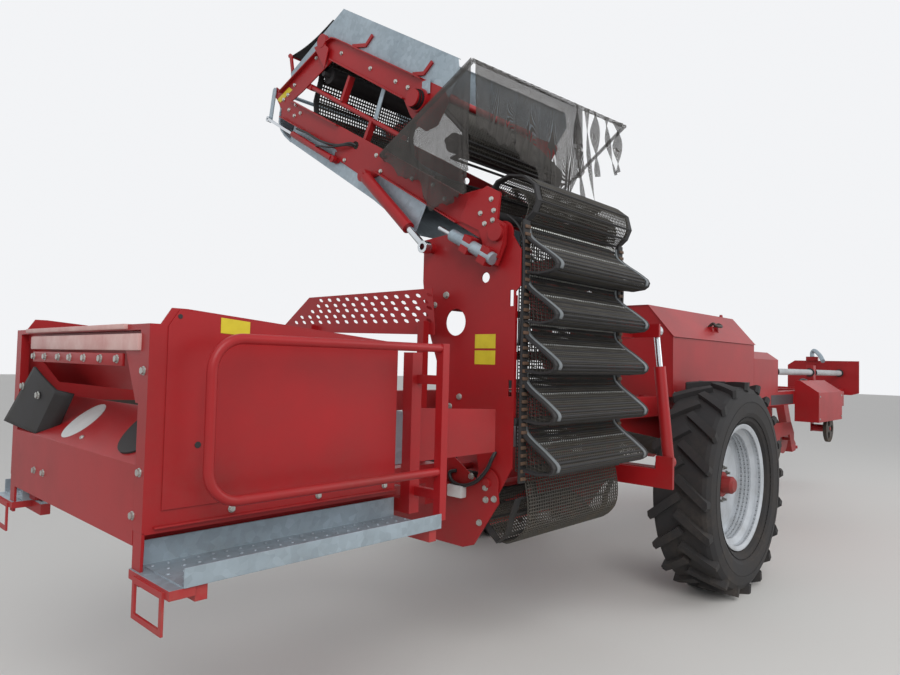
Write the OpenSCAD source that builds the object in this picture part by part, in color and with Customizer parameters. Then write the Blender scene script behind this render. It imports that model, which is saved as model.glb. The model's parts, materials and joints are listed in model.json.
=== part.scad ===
// Trailed potato harvester with a sorting platform at the rear and a folding pocket elevator.
// X points forward, Y to the left, Z up. All sizes are in millimetres.
// The modules are drawn with the wheel axle at X = 0; place() moves them to the part's origin.

/* [Overall] */
// Reach behind the axle, to the step brackets
rear_reach = 4750; // [4740:10:4900]
// Reach ahead of the axle, to the front of the towing eye
front_reach = 6400; // [6300:10:6700]
// Overall width over the tyres
overall_w = 3000; // [2960:10:3100]

/* [Wheels] */
// Diameter over the tyre's lugs
tyre_d = 1700; // [1640:10:1740]
// Width of the tyre
tyre_w = 470; // [440:5:480]
// Diameter over the rim's flanges
rim_d = 1016; // [980:4:1040]
// Height of a lug above the carcass
lug_h = 40; // [30:5:60]
// Lugs on each half of the tread
lug_count = 20; // [16:1:24]
// Width of a lug
lug_w = 60; // [45:1:75]

/* [Main frame] */
// Width of a main beam
beam_w = 100; // [80:5:100]
// Height of a main beam
beam_h = 160; // [120:5:180]
// Height of the main beams' undersides above the ground
beam_z = 1400; // [1380:5:1420]
// Outer face of the left main beam, from the middle
beam_left = 720; // [700:5:760]

/* [Digging unit] */
// Diameter of a digging disc
disc_d = 600; // [500:10:640]
// Diameter of the ridge rollers
roller_d = 380; // [300:10:420]
// Spacing of the webs' rods
rod_pitch = 80; // [70:1:100]
// Diameter of a web rod, over its corners
rod_d = 16; // [12:1:18]

/* [Elevator] */
// Middle of the elevator, behind the axle
elev_x = 2158; // [2140:1:2170]
// Width over the lower plates
elev_w = 1148; // [1130:2:1160]
// Thickness of the elevator's side plates
side_t = 8; // [5:1:9]
// Height of the lower pivot
low_pivot_z = 1130; // [1120:2:1140]
// Height of the upper pivot
top_pivot_z = 2560; // [2540:5:2580]
// Spacing of the pockets
pocket_pitch = 272; // [264:2:276]
// Depth of a pocket
pocket_d = 225; // [160:5:230]
// Length of the boom, from its pivot to the end of its lower beam
boom_l = 2720; // [2700:5:2760]
// Slope of the boom as it is parked
boom_tilt = 29; // [28:0.5:30]

/* [Sorting platform] */
// Front end of the sorting box's side panels, behind the axle
box_front = 3660; // [3640:5:3700]
// Outer face of the right panel, from the middle
box_right = 1270; // [1250:5:1280]
// Outer face of the left panel, from the middle
box_left = 210; // [200:5:260]
// Height of the panels' lower edge
box_z = 1230; // [1225:5:1240]
// Height of the panels' highest corner
box_top = 1955; // [1930:5:1980]
// Diameter of the railing's tube
rail_d = 36; // [30:1:42]

/* [Hidden] */
$fn = 48;

red = "#b3222b";
galv = "#9fb0b8";
black = "#26262a";
steel = "#c8ccd0";
rim_grey = "#c9cdd0";

shift_x = (rear_reach - front_reach) / 2;
wheel_z = tyre_d / 2;
wheel_y = (overall_w - tyre_w) / 2;
gap = 0.3;
// Clearances of the hood and of the right main beam beside the tyre
tyre_gap = 60;
hood_y = overall_w / 2 - tyre_w - tyre_gap;
beam_right = hood_y - 70;
beam_top = beam_z + beam_h;
inner_right = -beam_right + beam_w;
inner_left = beam_left - beam_w;

// Elevator: offsets from its middle plane, and its pivots in the Y-Z plane
base_off = elev_w / 2;
mast_off = base_off - side_t - 8;
boom_off = base_off - 4;
web_half = 528;
low_pivot = [-1020, low_pivot_z];
top_pivot = [-1000, top_pivot_z];
boom_hinge = [-85, 12];
belt_y = -1200;
pin_d = 50;

module place() translate([shift_x, 0, 0]) children();

// A box between two corners
module block(a, b) translate(a) cube(b - a);

// An outline in the Y-Z plane, from x0 over a thickness t
module plate_x(x0, t) translate([x0, 0, 0]) rotate([90, 0, 90]) linear_extrude(t) children();

// An outline in the X-Z plane, from y0 over a thickness t
module plate_y(y0, t) translate([0, y0 + t, 0]) rotate([90, 0, 0]) linear_extrude(t) children();

// A round bar along X, from x0 over a length l
module bar_x(x0, l, y, z, d) translate([x0, y, z]) rotate([0, 90, 0]) cylinder(d = d, h = l);

// A round bar along Y, from y0 over a length l
module bar_y(y0, l, x, z, d) translate([x, y0, z]) rotate([-90, 0, 0]) cylinder(d = d, h = l);

// A round bar between two points
module bar(p, q, d) {
    v = q - p;
    translate(p) rotate([0, acos(v[2] / norm(v)), atan2(v[1], v[0])]) cylinder(d = d, h = norm(v));
}

// A lifting cylinder's barrel: eye at the origin, pin along X, barrel along +Y
module ram_barrel(l, d, eye, w, pin, rod) difference() {
    union() {
        rotate([0, 90, 0]) cylinder(d = eye, h = w, center = true);
        translate([0, eye * 0.3, 0]) rotate([-90, 0, 0]) cylinder(d = d, h = l - eye * 0.3);
    }
    rotate([0, 90, 0]) cylinder(d = pin + 2 * gap, h = w + 2, center = true);
    translate([0, eye * 0.8, 0]) rotate([-90, 0, 0]) cylinder(d = rod + 2 * gap, h = l);
}

// The rod that slides in it: from l0 to the middle of its own eye at l1
module ram_rod(l0, l1, d, eye, w, pin) difference() {
    union() {
        translate([0, l0, 0]) rotate([-90, 0, 0]) cylinder(d = d, h = l1 - l0 - eye * 0.3);
        translate([0, l1, 0]) rotate([0, 90, 0]) cylinder(d = eye, h = w, center = true);
    }
    translate([0, l1, 0]) rotate([0, 90, 0]) cylinder(d = pin, h = w + 2, center = true);
}
function angle_of(v) = atan2(v[1], v[0]);

// The outline of a strip of thickness t that follows a line of points
function side_at(p, i) = let(
    a = p[max(i - 1, 0)], b = p[min(i + 1, len(p) - 1)], v = (b - a) / norm(b - a)) [-v[1], v[0]];
function ribbon(p, t) = concat(
    [for (i = [0 : len(p) - 1]) p[i] + side_at(p, i) * t / 2],
    [for (i = [len(p) - 1 : -1 : 0]) p[i] - side_at(p, i) * t / 2]);

// Points of an arc
function arc(c, r, a0, a1, n) = [for (i = [0 : n]) let(a = a0 + (a1 - a0) * i / n)
    c + r * [cos(a), sin(a)]];

// Moves a drawing made along the boom to its place: s runs along the boom, h square to it
function boom_pt(p) = top_pivot + [
    p[0] * cos(boom_tilt) - p[1] * sin(boom_tilt),
    p[0] * sin(boom_tilt) + p[1] * cos(boom_tilt)];
module on_boom() translate([-elev_x, top_pivot[0], top_pivot[1]]) rotate([boom_tilt, 0, 0]) children();
module on_elev() translate([-elev_x, 0, 0]) children();

// Draws a plate on both sides of the elevator, its outer face at the offset given
module both_sides(off, t) {
    plate_x(-off, t) children();
    plate_x(off - t, t) children();
}

// Wheels

bead_r = 482.6;
flange_w = 12;
module wheel_at(side) translate([0, side * wheel_y, wheel_z]) rotate([-90 * side, 0, 0]) children();

module tyre(side) color(black) wheel_at(side) {
    r = tyre_d / 2;
    c = r - lug_h;
    h = tyre_w / 2;
    rotate_extrude($fn = 96) polygon([
        [bead_r, -h + 78], [rim_d / 2 + 4, -h + 76], [rim_d / 2 + 30, -h + 40], [r * 0.71, -h + 8],
        [r * 0.82, -h], [c - 50, -h + 10], [c - 12, -h + 32], [c, -h + 60],
        [c, h - 60], [c - 12, h - 32], [c - 50, h - 10], [r * 0.82, h],
        [r * 0.71, h - 8], [rim_d / 2 + 30, h - 40], [rim_d / 2 + 4, h - 76], [bead_r, h - 78]]);
    intersection() {
        translate([0, 0, -h + 4]) cylinder(r = r, h = tyre_w - 8, $fn = 96);
        for (half = [-1, 1], i = [0 : lug_count - 1])
            rotate([0, 0, (i + (half > 0 ? 0.5 : 0)) * 360 / lug_count])
                translate([c - 45, 0, 0]) rotate([half * -38, 0, 0])
                    translate([0, -lug_w / 2, half > 0 ? -20 : -h * 1.25])
                        cube([lug_h + 60, lug_w, h * 1.25 + 20]);
    }
}

module rim(side) color(rim_grey) wheel_at(side) {
    f = rim_d / 2;
    b = bead_r - gap;
    w = tyre_w / 2 - 60;
    rotate_extrude($fn = 96) polygon([
        [f, w], [f, w - flange_w], [b, w - 16], [b, w - 60], [b - 42, w - 86],
        [b - 42, -w + 86], [b, -w + 60], [b, -w + 16], [f, -w + flange_w], [f, -w],
        [f - 12, -w], [b - 12, -w + 12], [b - 12, -w + 54], [b - 54, -w + 80],
        [b - 54, -30], [375, -44], [345, -14], [200, -14], [106, -14], [106, 0], [200, 0], [350, 0],
        [380, -30], [b - 54, -14],
        [b - 54, w - 80], [b - 12, w - 54], [b - 12, w - 12], [f - 12, w]]);
}

hub_in = 205;
hub_bore = 90;
module hub(side) color(red) wheel_at(side) difference() {
    union() {
        translate([0, 0, -hub_in]) cylinder(d = 205, h = hub_in + 20);
        translate([0, 0, -34]) cylinder(d = 300, h = 20);
        translate([0, 0, 20]) cylinder(d = 140, h = 75);
        translate([0, 0, 95]) cylinder(d1 = 140, d2 = 100, h = 20);
    }
    translate([0, 0, -hub_in - 1]) cylinder(d = hub_bore, h = hub_in - 19);
}

axle_s = 140;
module axle() color(red) {
    end = wheel_y - hub_in - 15;
    block([-axle_s / 2, -end, wheel_z - axle_s / 2], [axle_s / 2, end, wheel_z + axle_s / 2]);
    for (side = [-1, 1])
        wheel_at(side) translate([0, 0, -hub_in - 15]) cylinder(d = hub_bore - 2 * gap, h = hub_in - 10);
    for (y = [-beam_right, inner_left])
        plate_y(y, beam_w) polygon([
            [-70, wheel_z + axle_s / 2], [70, wheel_z + axle_s / 2], [160, beam_z], [-160, beam_z]]);
}

// Main frame

frame_front = 4300;
frame_rear = 1400;
rear_beam = 2960;
bar_end = front_reach - 800;
low_z = 1000;
module chassis() color(red) {
    block([-frame_rear, -beam_right, beam_z], [frame_front, inner_right, beam_top]);
    block([-rear_beam, inner_left, beam_z], [frame_front, beam_left, beam_top]);
    // Hangers and pins of the digging unit
    for (side = [0, 1]) translate([0, side * (inner_left + inner_right), 0]) mirror([0, side, 0]) {
        block([dig_pivot[0] - 60, -beam_right, dig_pivot[1] - 60], [dig_pivot[0] + 60, inner_right, beam_z]);
        bar_y(inner_right, 24, dig_pivot[0], dig_pivot[1], pin_d);
    }
    // Bracket and pin of the lifting cylinder
    block([lift_top[0] - 50, inner_left, beam_top], [lift_top[0] + 50, inner_left + 20, lift_top[1] + 50]);
    bar_y(inner_left - 76, 76, lift_top[0], lift_top[1], ram_pin);
}
module cross_beams() color(red) for (x = [-frame_rear, frame_front - 100])
    block([x, inner_right, beam_z], [x + 100, inner_left, beam_top]);

// Lower frame that carries the elevator and the sorting platform
module platform_frame() color(red) {
    // Cross beams before and behind the elevator, with their posts
    for (x = [-frame_rear, -rear_beam]) {
        block([x, x == -frame_rear ? -beam_right : -760, low_z], [x + 100, beam_left, low_z + 120]);
        block([x, inner_left, low_z + 120], [x + 100, beam_left, beam_z]);
    }
    block([-frame_rear, -beam_right, low_z + 120], [-frame_rear + 100, inner_right, beam_z]);
    // Brackets for the elevator's lower part
    for (y = [-760, 80]) {
        block([-rear_beam + 100, y, low_z + 20], [-elev_x - base_off, y + 80, low_z + 100]);
        block([-elev_x + base_off, y, low_z + 20], [-frame_rear, y + 80, low_z + 100]);
    }
    // Arm and pin of the elevator's tilting cylinder
    block([-frame_rear, -1490, low_z], [-frame_rear + 24, -beam_right, low_z + 120]);
    block([-frame_rear, -1490, low_z + 120], [-frame_rear + 24, -1370, tilt_low[1] + 40]);
    bar_x(-frame_rear + 24, 96, tilt_low[0], tilt_low[1], ram_pin);
    // Sorting platform's beams and front posts
    block([-box_rear + 60, -1150, low_z + 120], [-3500, -1070, box_z - 6]);
    block([-3560, -760, low_z + 120], [-rear_beam + 100, -680, box_z - 6]);
    block([-box_rear + 60, 50, low_z + 120], [-rear_beam + 100, 130, box_z - 6]);
    for (y = [-1260, 140]) block([-3560, y, low_z + 120], [-3500, y + 60, 1840]);
    block([-3560, -1260, low_z + 120], [-3500, 200, low_z + 180]);
}

ram_pin = 40;
lift_top = [2150, 1860];
lift_eye = [2100, 1130];
dig_pivot = [720, 1310];

hitch_z = 560;
eye_r = 70;
eye_bore = 50;
eye_t = 45;
goose_w = 120;
jack_x = bar_end + 120;
jack_y = 190;
jack_s = 90;
leg_s = 70;
// Where the slanted beam's outer face meets the front cross beam
brace_end = goose_w / 2 + 100 * (beam_left - goose_w / 2) / (bar_end - frame_front);
module drawbar() color(red) {
    block([frame_front, -beam_right, beam_z], [bar_end, inner_right, beam_top]);
    translate([0, 0, beam_z]) linear_extrude(beam_h) polygon([
        [bar_end - 100, inner_right], [bar_end, inner_right], [bar_end, goose_w / 2], [bar_end - 100, brace_end]]);
    // The neck down to the towing eye
    plate_y(-goose_w / 2, goose_w) polygon([
        [bar_end, beam_z], [bar_end, beam_top], [bar_end + 100, beam_top], [bar_end + 580, hitch_z + 140],
        [bar_end + 670, hitch_z + 65], [bar_end + 670, hitch_z - 45], [bar_end + 490, hitch_z - 60],
        [bar_end + 80, 1200]]);
    difference() {
        union() {
            translate([front_reach - eye_r, 0, hitch_z - eye_t / 2]) cylinder(r = eye_r, h = eye_t);
            block([front_reach - 2 * eye_r - 20, -40, hitch_z - eye_t / 2],
                [front_reach - eye_r - 20, 40, hitch_z + eye_t / 2]);
        }
        translate([front_reach - eye_r, 0, hitch_z - eye_t]) cylinder(d = eye_bore, h = 2 * eye_t);
    }
    // The jack's outer tube
    difference() {
        block([jack_x - jack_s / 2, jack_y - jack_s / 2, 500], [jack_x + jack_s / 2, jack_y + jack_s / 2, 1350]);
        block([jack_x - leg_s / 2 - gap, jack_y - leg_s / 2 - gap, 499],
            [jack_x + leg_s / 2 + gap, jack_y + leg_s / 2 + gap, 1340]);
    }
    block([jack_x - 40, goose_w / 2, 1210], [jack_x + 40, jack_y - jack_s / 2, 1330]);
}

// The slanted left beam
module drawbar_brace() color(red)
    translate([0, 0, beam_z]) linear_extrude(beam_h) polygon([
        [frame_front, beam_left], [frame_front, inner_left - 20], [bar_end - 100, -goose_w / 2],
        [bar_end - 100, brace_end]]);

module jack_leg() color(red) {
    block([jack_x - leg_s / 2, jack_y - leg_s / 2, 12], [jack_x + leg_s / 2, jack_y + leg_s / 2, 900]);
    translate([jack_x, jack_y, 0]) cylinder(d = 260, h = 12);
}

module front_plate() color(red) {
    plate_x(bar_end, 12) polygon([
        [-1100, 1500], [-1000, 1470], [-130, 1470], [-130, 1900], [-230, 1970], [-1100, 1970]]);
    color(galv) block([bar_end - 40, -560, 1970], [bar_end + 12, -400, 2030]);
}

// Webs of the main channel and of the digging unit

// A web of rods on belts round two rollers at a and b of the X-Z plane; its shafts reach w0 and w1
belt_w = 50;
module rod_web(a, b, y0, y1, thick, w0, w1) {
    l = norm(b - a);
    v = (b - a) / l;
    r = thick / 2;
    loop_l = 2 * l + 2 * PI * r;
    n = floor(loop_l / rod_pitch);
    ang = atan2(v[1], v[0]);
    for (p = [a, b]) {
        bar_y(w0, w1 - w0, p[0], p[1], 40);
        for (y = [y0, y1 - belt_w]) bar_y(y + 5, belt_w - 10, p[0], p[1], 2 * r - 8);
    }
    translate([a[0], 0, a[1]]) rotate([0, -ang, 0]) {
        for (y = [y0, y1 - belt_w])
            plate_y(y, belt_w) difference() {
                union() {
                    translate([0, -r - 5]) square([l, 2 * r + 10]);
                    circle(r = r + 5);
                    translate([l, 0]) circle(r = r + 5);
                }
                union() {
                    translate([0, -r + 5]) square([l, 2 * r - 10]);
                    circle(r = r - 5);
                    translate([l, 0]) circle(r = r - 5);
                }
            }
        for (i = [0 : n - 1]) {
            q = i * loop_l / n;
            t = (q < l + PI * r ? q - l : q - 2 * l - PI * r) / r * 180 / PI;
            p = q < l ? [q, r] : q < l + PI * r ? [l + r * sin(t), r * cos(t)]
                : q < 2 * l + PI * r ? [2 * l + PI * r - q, -r] : [-r * sin(t), -r * cos(t)];
            translate([p[0], y0 + belt_w / 2, p[1]]) rotate([-90, 0, 0])
                cylinder(d = rod_d, h = y1 - y0 - belt_w, $fn = 4);
        }
    }
}

wall_t = 6;
web_y0 = inner_right + 40;
web_y1 = inner_left - 40;
module main_channel() color(red) {
    outline = [[600, 1130], [600, 1390], [-1290, 1640], [-1290, 1380], [100, 1150]];
    for (y = [inner_right, inner_left - wall_t]) plate_y(y, wall_t) polygon(outline);
}
module main_web() color(black)
    rod_web([-1180, 1500], [500, 1260], web_y0, web_y1, 150, inner_right + wall_t, inner_left - wall_t);

dig_t = 8;
dig_gap = 8;
module digger_frame() color(red) {
    outline = [[640, 1230], [640, 1390], [1500, 1330], [2500, 1180], [3500, 1160], [3620, 1020],
        [3620, 880], [3500, 880], [3440, 1010], [3080, 990], [3060, 880], [2940, 880], [2840, 800],
        [2760, 690], [2600, 640], [2450, 660], [1700, 900], [800, 1180]];
    for (y = [inner_right + dig_gap, inner_left - dig_gap - dig_t])
        plate_y(y, dig_t) difference() {
            polygon(outline);
            translate(dig_pivot) circle(d = pin_d + 2 * gap);
            translate([disc_x, disc_z]) circle(d = 40 + 2 * gap);
            translate([roller_x, disc_z]) circle(d = 40 + 2 * gap);
        }
    // Boss beside the lifting cylinder's eye
    bar_y(inner_left - 46, 46 - dig_gap - dig_t, lift_eye[0], lift_eye[1], 60);
    // Shares
    for (y = [inner_right + dig_gap + dig_t, (inner_right + inner_left) / 2 + 20])
        plate_y(y, (inner_left - inner_right) / 2 - dig_gap - dig_t - 20)
            polygon([[2500, 700], [2530, 730], [2830, 668], [2840, 658], [2830, 652]]);
    bar_y(inner_right + dig_gap + dig_t, inner_left - inner_right - 2 * (dig_gap + dig_t), 3300, 1110, 60);
}
module digger_web() color(black)
    rod_web([860, 1245], [2430, 775], web_y0, web_y1, 130, inner_right + dig_gap + dig_t, inner_left - dig_gap - dig_t);

disc_x = 3000;
disc_z = 940;
roller_x = 3560;
dig_shaft = 40;
module dig_axle(x) bar_y(inner_right + dig_gap + 1, inner_left - inner_right - 2 * dig_gap - 2, x, disc_z, dig_shaft);
module digger_discs() color(black) {
    dig_axle(disc_x);
    for (y = [inner_right + 60, (inner_right + inner_left) / 2 - 4, inner_left - 68])
        bar_y(y, 8, disc_x, disc_z, disc_d);
}
module ridge_rollers() color(red) {
    dig_axle(roller_x);
    for (y = [inner_right + 120, inner_left - 500])
        translate([roller_x, y, disc_z]) rotate([-90, 0, 0]) rotate_extrude() polygon([
            [10, 0], [roller_d / 2, 0], [roller_d / 2 - 70, 190], [roller_d / 2, 380], [10, 380]]);
}

// Lifting cylinder, inside the left beam
lift_y = inner_left - 76;
lift_v = lift_eye - lift_top;
module on_lift() translate([lift_top[0], lift_y, lift_top[1]])
    rotate([0, -angle_of(lift_v), 0]) rotate([0, 0, -90]) children();
module lift_barrel() color(red) on_lift() ram_barrel(640, 76, 84, 50, ram_pin, 44);
module lift_rod() color(steel) on_lift() ram_rod(200, norm(lift_v), 44, 80, 50, ram_pin);

// Covers and drives on the right side

hood_in = 380;
hood_x0 = -290;
hood_x1 = 1630;
hood_eave = 2065;
hood_ridge = 2335;
ridge_y = hood_y - 230;
hood_t = 6;
module hood_section(e) polygon([
    [-hood_y + e, beam_top + e], [-hood_in - e, beam_top + e], [-hood_in - e, hood_ridge - e],
    [-ridge_y + e * 0.3, hood_ridge - e], [-hood_y + e, hood_eave - e * 0.3]]);
module hood_base() color(red) {
    difference() {
        plate_x(hood_x0, hood_x1 - hood_x0) hood_section(0);
        plate_x(hood_x0 + hood_t, hood_x1 - hood_x0 - 2 * hood_t) hood_section(hood_t);
        // Open roof under the lid
        plate_x(hood_x0 + hood_t, hood_x1 - hood_x0 - 2 * hood_t) polygon([
            [-hood_y - 1, hood_eave - 4], [-hood_y + 20, hood_eave - 4], [-ridge_y, hood_ridge - 12],
            [-hood_in - 7, hood_ridge - 12], [-hood_in - 7, hood_ridge + 1], [-hood_y - 1, hood_ridge + 1]]);
    }
}
module hood_lid() color(red) {
    plate_x(hood_x0 - 8, hood_x1 - hood_x0 + 16) polygon([
        [-hood_y - 6, hood_eave - 2], [-ridge_y - 2, hood_ridge + gap], [-hood_in + 8, hood_ridge + gap],
        [-hood_in + 8, hood_ridge + 6], [-ridge_y - 5, hood_ridge + 6], [-hood_y - 14, hood_eave - 2]]);
    // Hinge tube
    bar_x(hood_x0 - 8, hood_x1 - hood_x0 + 16, -hood_in + 8, hood_ridge + 8, 12);
}
module gearbox_cover() color(red) {
    plate_x(1840, shaft_rear - 1840) polygon([
        [-beam_right, beam_top], [-beam_right + 280, beam_top], [-beam_right + 280, 2010],
        [-beam_right + 120, 2010], [-beam_right, 1925]]);
}
shaft_y = -beam_right + 50;
shaft_z = 1790;
shaft_rear = 2630;
shaft_post = frame_front - 220;
module drive_shaft() color(steel) {
    bar_x(shaft_rear, shaft_post - shaft_rear, shaft_y, shaft_z, 76);
    bar_x(shaft_post + 100, bar_end - shaft_post - 100, shaft_y, shaft_z, 76);
    color(red) block([shaft_post, shaft_y - 40, beam_top], [shaft_post + 100, shaft_y + 40, shaft_z + 90]);
}
module drive_box() color(red) {
    difference() {
        plate_x(frame_front - 1045, 1075) polygon([
            [-1170, 1190], [-beam_right, 1190], [-beam_right, 1690], [-960, 1690], [-1170, 1550]]);
        plate_x(frame_front - 1039, 1063) polygon([
            [-1164, 1189], [-beam_right - 6, 1189], [-beam_right - 6, 1684], [-962, 1684], [-1164, 1548]]);
    }
    block([frame_front + 30, -1120, 1350], [frame_front + 340, -beam_right, 1545]);
    // Bearing of the pulley
    bar_y(-1060, 154, pulley_x, pulley_z, 90);
    bar_y(-1126, 66, pulley_x, pulley_z, 40 - 2 * gap);
    block([pulley_x - 50, -920, pulley_z - 45], [pulley_x + 50, -beam_right - 6, 1400]);
}
pulley_x = frame_front - 350;
pulley_z = 1080;
module drive_pulley() color(black) translate([pulley_x, -1120, pulley_z]) rotate([-90, 0, 0]) difference() {
    cylinder(d = 340, h = 40);
    for (i = [0 : 2]) rotate([0, 0, i * 120]) translate([90, 0, -1]) cylinder(d = 90, h = 42);
    translate([0, 0, -1]) cylinder(d = 40, h = 42);
}

// Sorting platform

box_rear = rear_reach - 15;
chute_t = 8;
module panel(y) plate_y(y, 6) polygon([
    [-box_rear + 35, box_z], [-box_front, box_z], [-box_front, box_top - 77],
    [-box_rear + 120, box_top], [-box_rear + 70, box_top], [-box_rear + 35, box_top - 55]]);
module sorting_box() color(red) {
    for (y = [-box_right, box_left - 6]) panel(y);
    for (y = [-box_right, box_left - 70])
        block([-box_rear, y, box_z], [-box_rear + 35, y + 70, box_top - 55]);
    for (y = [-box_right, box_left - 130])
        block([-box_rear + chute_t + gap, y, box_z - 6], [-box_front, y + 130, box_z]);
}
module sorting_table() color(black) {
    y0 = -box_right + 70;
    y1 = box_left - 70;
    x0 = -box_rear + 195;
    for (y = [y0, y1 - 8]) plate_y(y, 8) polygon([[x0, 1400], [x0, 1575], [-2900, 1520], [-2900, 1340]]);
    rod_web([x0 + 100, 1480], [-3020, 1420], y0 + 30, y1 - 30, 100, y0 + 8, y1 - 8);
}
module rear_chute() color(red) {
    w = box_left + box_right - 140;
    plate_y(-box_right + 70, w) {
        polygon([[-box_rear, box_top - 75], [-box_rear, box_top - 55], [-box_rear + 35, box_top - 55],
            [-box_rear + 35, box_top - 110], [-box_rear + 174, box_top - 295], [-box_rear + 165, box_top - 295],
            [-box_rear + 28, box_top - 112], [-box_rear + 28, box_top - 75]]);
        polygon([[-box_rear, box_z - 50], [-box_rear, 1440], [-box_rear + 190, 1600], [-box_rear + 190, 1590],
            [-box_rear + chute_t, 1436], [-box_rear + chute_t, box_z - 50]]);
    }
}
module chute_flap() color(black)
    plate_y(-70, 200) polygon([
        [-box_rear + 166, box_top - 295], [-box_rear + 174, box_top - 295],
        [-box_rear + 60, box_top - 450], [-box_rear + 52, box_top - 450]]);

guard_x = 2846;
guard_holes = [15, 14, 13, 12, 12];
oval = [[-25, -10], [-10, -13], [14, -5], [25, 8], [12, 13], [-12, 6]];
module front_guard() color(red) {
    plate_x(-guard_x, 4) difference() {
        polygon([[-690, 2010], [880, 2050], [580, 2240], [-660, 2235]]);
        for (r = [0 : 4], i = [0 : guard_holes[r] - 1])
            translate([-640 + i * 98 + (r % 2) * 30, 2044 + r * 38 + i * 1.5]) polygon(oval);
    }
    plate_x(-guard_x, 4) polygon([[-690, 1960], [880, 2000], [880, 2050], [-690, 2010]]);
    for (y = [-640, 480])
        block([-guard_x - 44, y, low_z + 120], [-guard_x, y + 50, 2040]);
}

mid_y = (box_left - box_right) / 2;
walk_w = 300;
walk_z = 1108;
walk_front = 3600;
walk_rear = rear_reach - 50;
walk_in = box_right - 70;
module mirrored_left() translate([0, mid_y, 0]) mirror([0, 1, 0]) translate([0, -mid_y, 0]) children();
module walkway() {
    color(galv) {
        o = -walk_in - walk_w;
        block([-walk_rear, o, walk_z], [-walk_front, -walk_in, walk_z + 4]);
        block([-walk_rear, o, walk_z + 4], [-walk_front, o + 4, walk_z + 60]);
        block([-walk_rear, -walk_in - 4, walk_z + 4], [-walk_front, -walk_in, walk_z + 84]);
    }
    color(red) {
        block([-rear_reach + 8, -1495, walk_z - 30], [-walk_rear + 40, -walk_in, walk_z]);
        difference() {
            block([-rear_reach, -1465, 968], [-rear_reach + 8, -1250, walk_z - 10]);
            block([-rear_reach - 1, -1447, 986], [-rear_reach + 9, -1268, walk_z - 30]);
        }
        for (x = [-walk_front - 60, -walk_rear + 40]) {
            block([x, -1490, walk_z - 50], [x + 40, -1070, walk_z]);
            block([x, -1150, walk_z], [x + 40, -1070, low_z + 120]);
        }
    }
}
rail_y = -1400;
module railing() color(red) {
    x0 = -rear_reach + 165;
    r = 110;
    z0 = 1322;
    z1 = 1860;
    bar_x(x0 + r, -3530 - x0 - r, rail_y, z1, rail_d);
    bar_x(x0 + r, -3530 - x0 - r, rail_y, z0, rail_d);
    translate([x0, rail_y, z0 + r]) cylinder(d = rail_d, h = z1 - z0 - 2 * r);
    translate([x0 + r, rail_y, z1 - r]) rotate([90, 0, 0]) rotate([0, 0, 90])
        rotate_extrude(angle = 90) translate([r, 0]) circle(d = rail_d, $fn = 24);
    translate([x0 + r, rail_y, z0 + r]) rotate([90, 0, 0]) rotate([0, 0, 180])
        rotate_extrude(angle = 90) translate([r, 0]) circle(d = rail_d, $fn = 24);
    block([-3530, rail_y - 20, 1112], [-3490, rail_y + 20, z1 + 20]);
    for (z = [1200, 1700]) block([-3530, rail_y + 20, z], [-3500, -1260, z + 40]);
}

// Elevator

module base_outline() difference() {
    union() {
        polygon([[250, 800], [-570, 742], [-850, 742], [-930, 770], [-1106, 1030], [-1090, 1130],
            [-950, 1130], [-730, 1270], [-680, 1265], [-630, 1190], [250, 1150]]);
        translate(low_pivot) circle(r = 80);
    }
}
module elevator_base() on_elev() color(red) {
    both_sides(base_off, side_t) base_outline();
    for (p = [[100, 986], [-560, 986], [-700, 790]])
        bar_x(-base_off + side_t, elev_w - 2 * side_t, p[0], p[1], p[1] < 900 ? 30 : 50);
    for (s = [-1, 1]) translate([s * (base_off - 20), low_pivot[0], low_pivot[1]]) rotate([0, s * 90, 0])
        translate([0, 0, -8]) cylinder(d = pin_d, h = 40);
}

// One pocket of the web: u runs outwards from the belt line, v along the web
pocket = [[0, 0], [0.5, -0.06], [0.86, -0.03], [0.97, 0.03], [1, 0.1], [0.95, 0.18], [0.8, 0.28],
    [0.6, 0.4], [0.38, 0.52], [0.18, 0.64], [0.04, 0.76], [0, 0.88]];
web_t = 12;
web_belt = 44;
module web_strip(path) for (x = [-web_half, web_half - web_belt])
    plate_x(x, web_belt) polygon(ribbon(path, web_t));
module web_rods(path) for (p = path)
    translate([-web_half + web_belt / 2, p[0], p[1]]) rotate([0, 90, 0])
        cylinder(d = rod_d, h = 2 * web_half - web_belt, $fn = 4);

base_path = concat(
    [[120, 950], [0, 950], [-40, 800], [-220, 900], [-280, 950], [-320, 800], [-500, 900], [-560, 950],
        [-600, 800], [-780, 900], [-840, 940]], [[-940, 900], [-1060, 800], [-1120, 850], [-1150, 960], [-1190, 1060]]);
module base_web() on_elev() color(black) {
    web_strip(base_path);
    web_rods(base_path);
}

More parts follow.
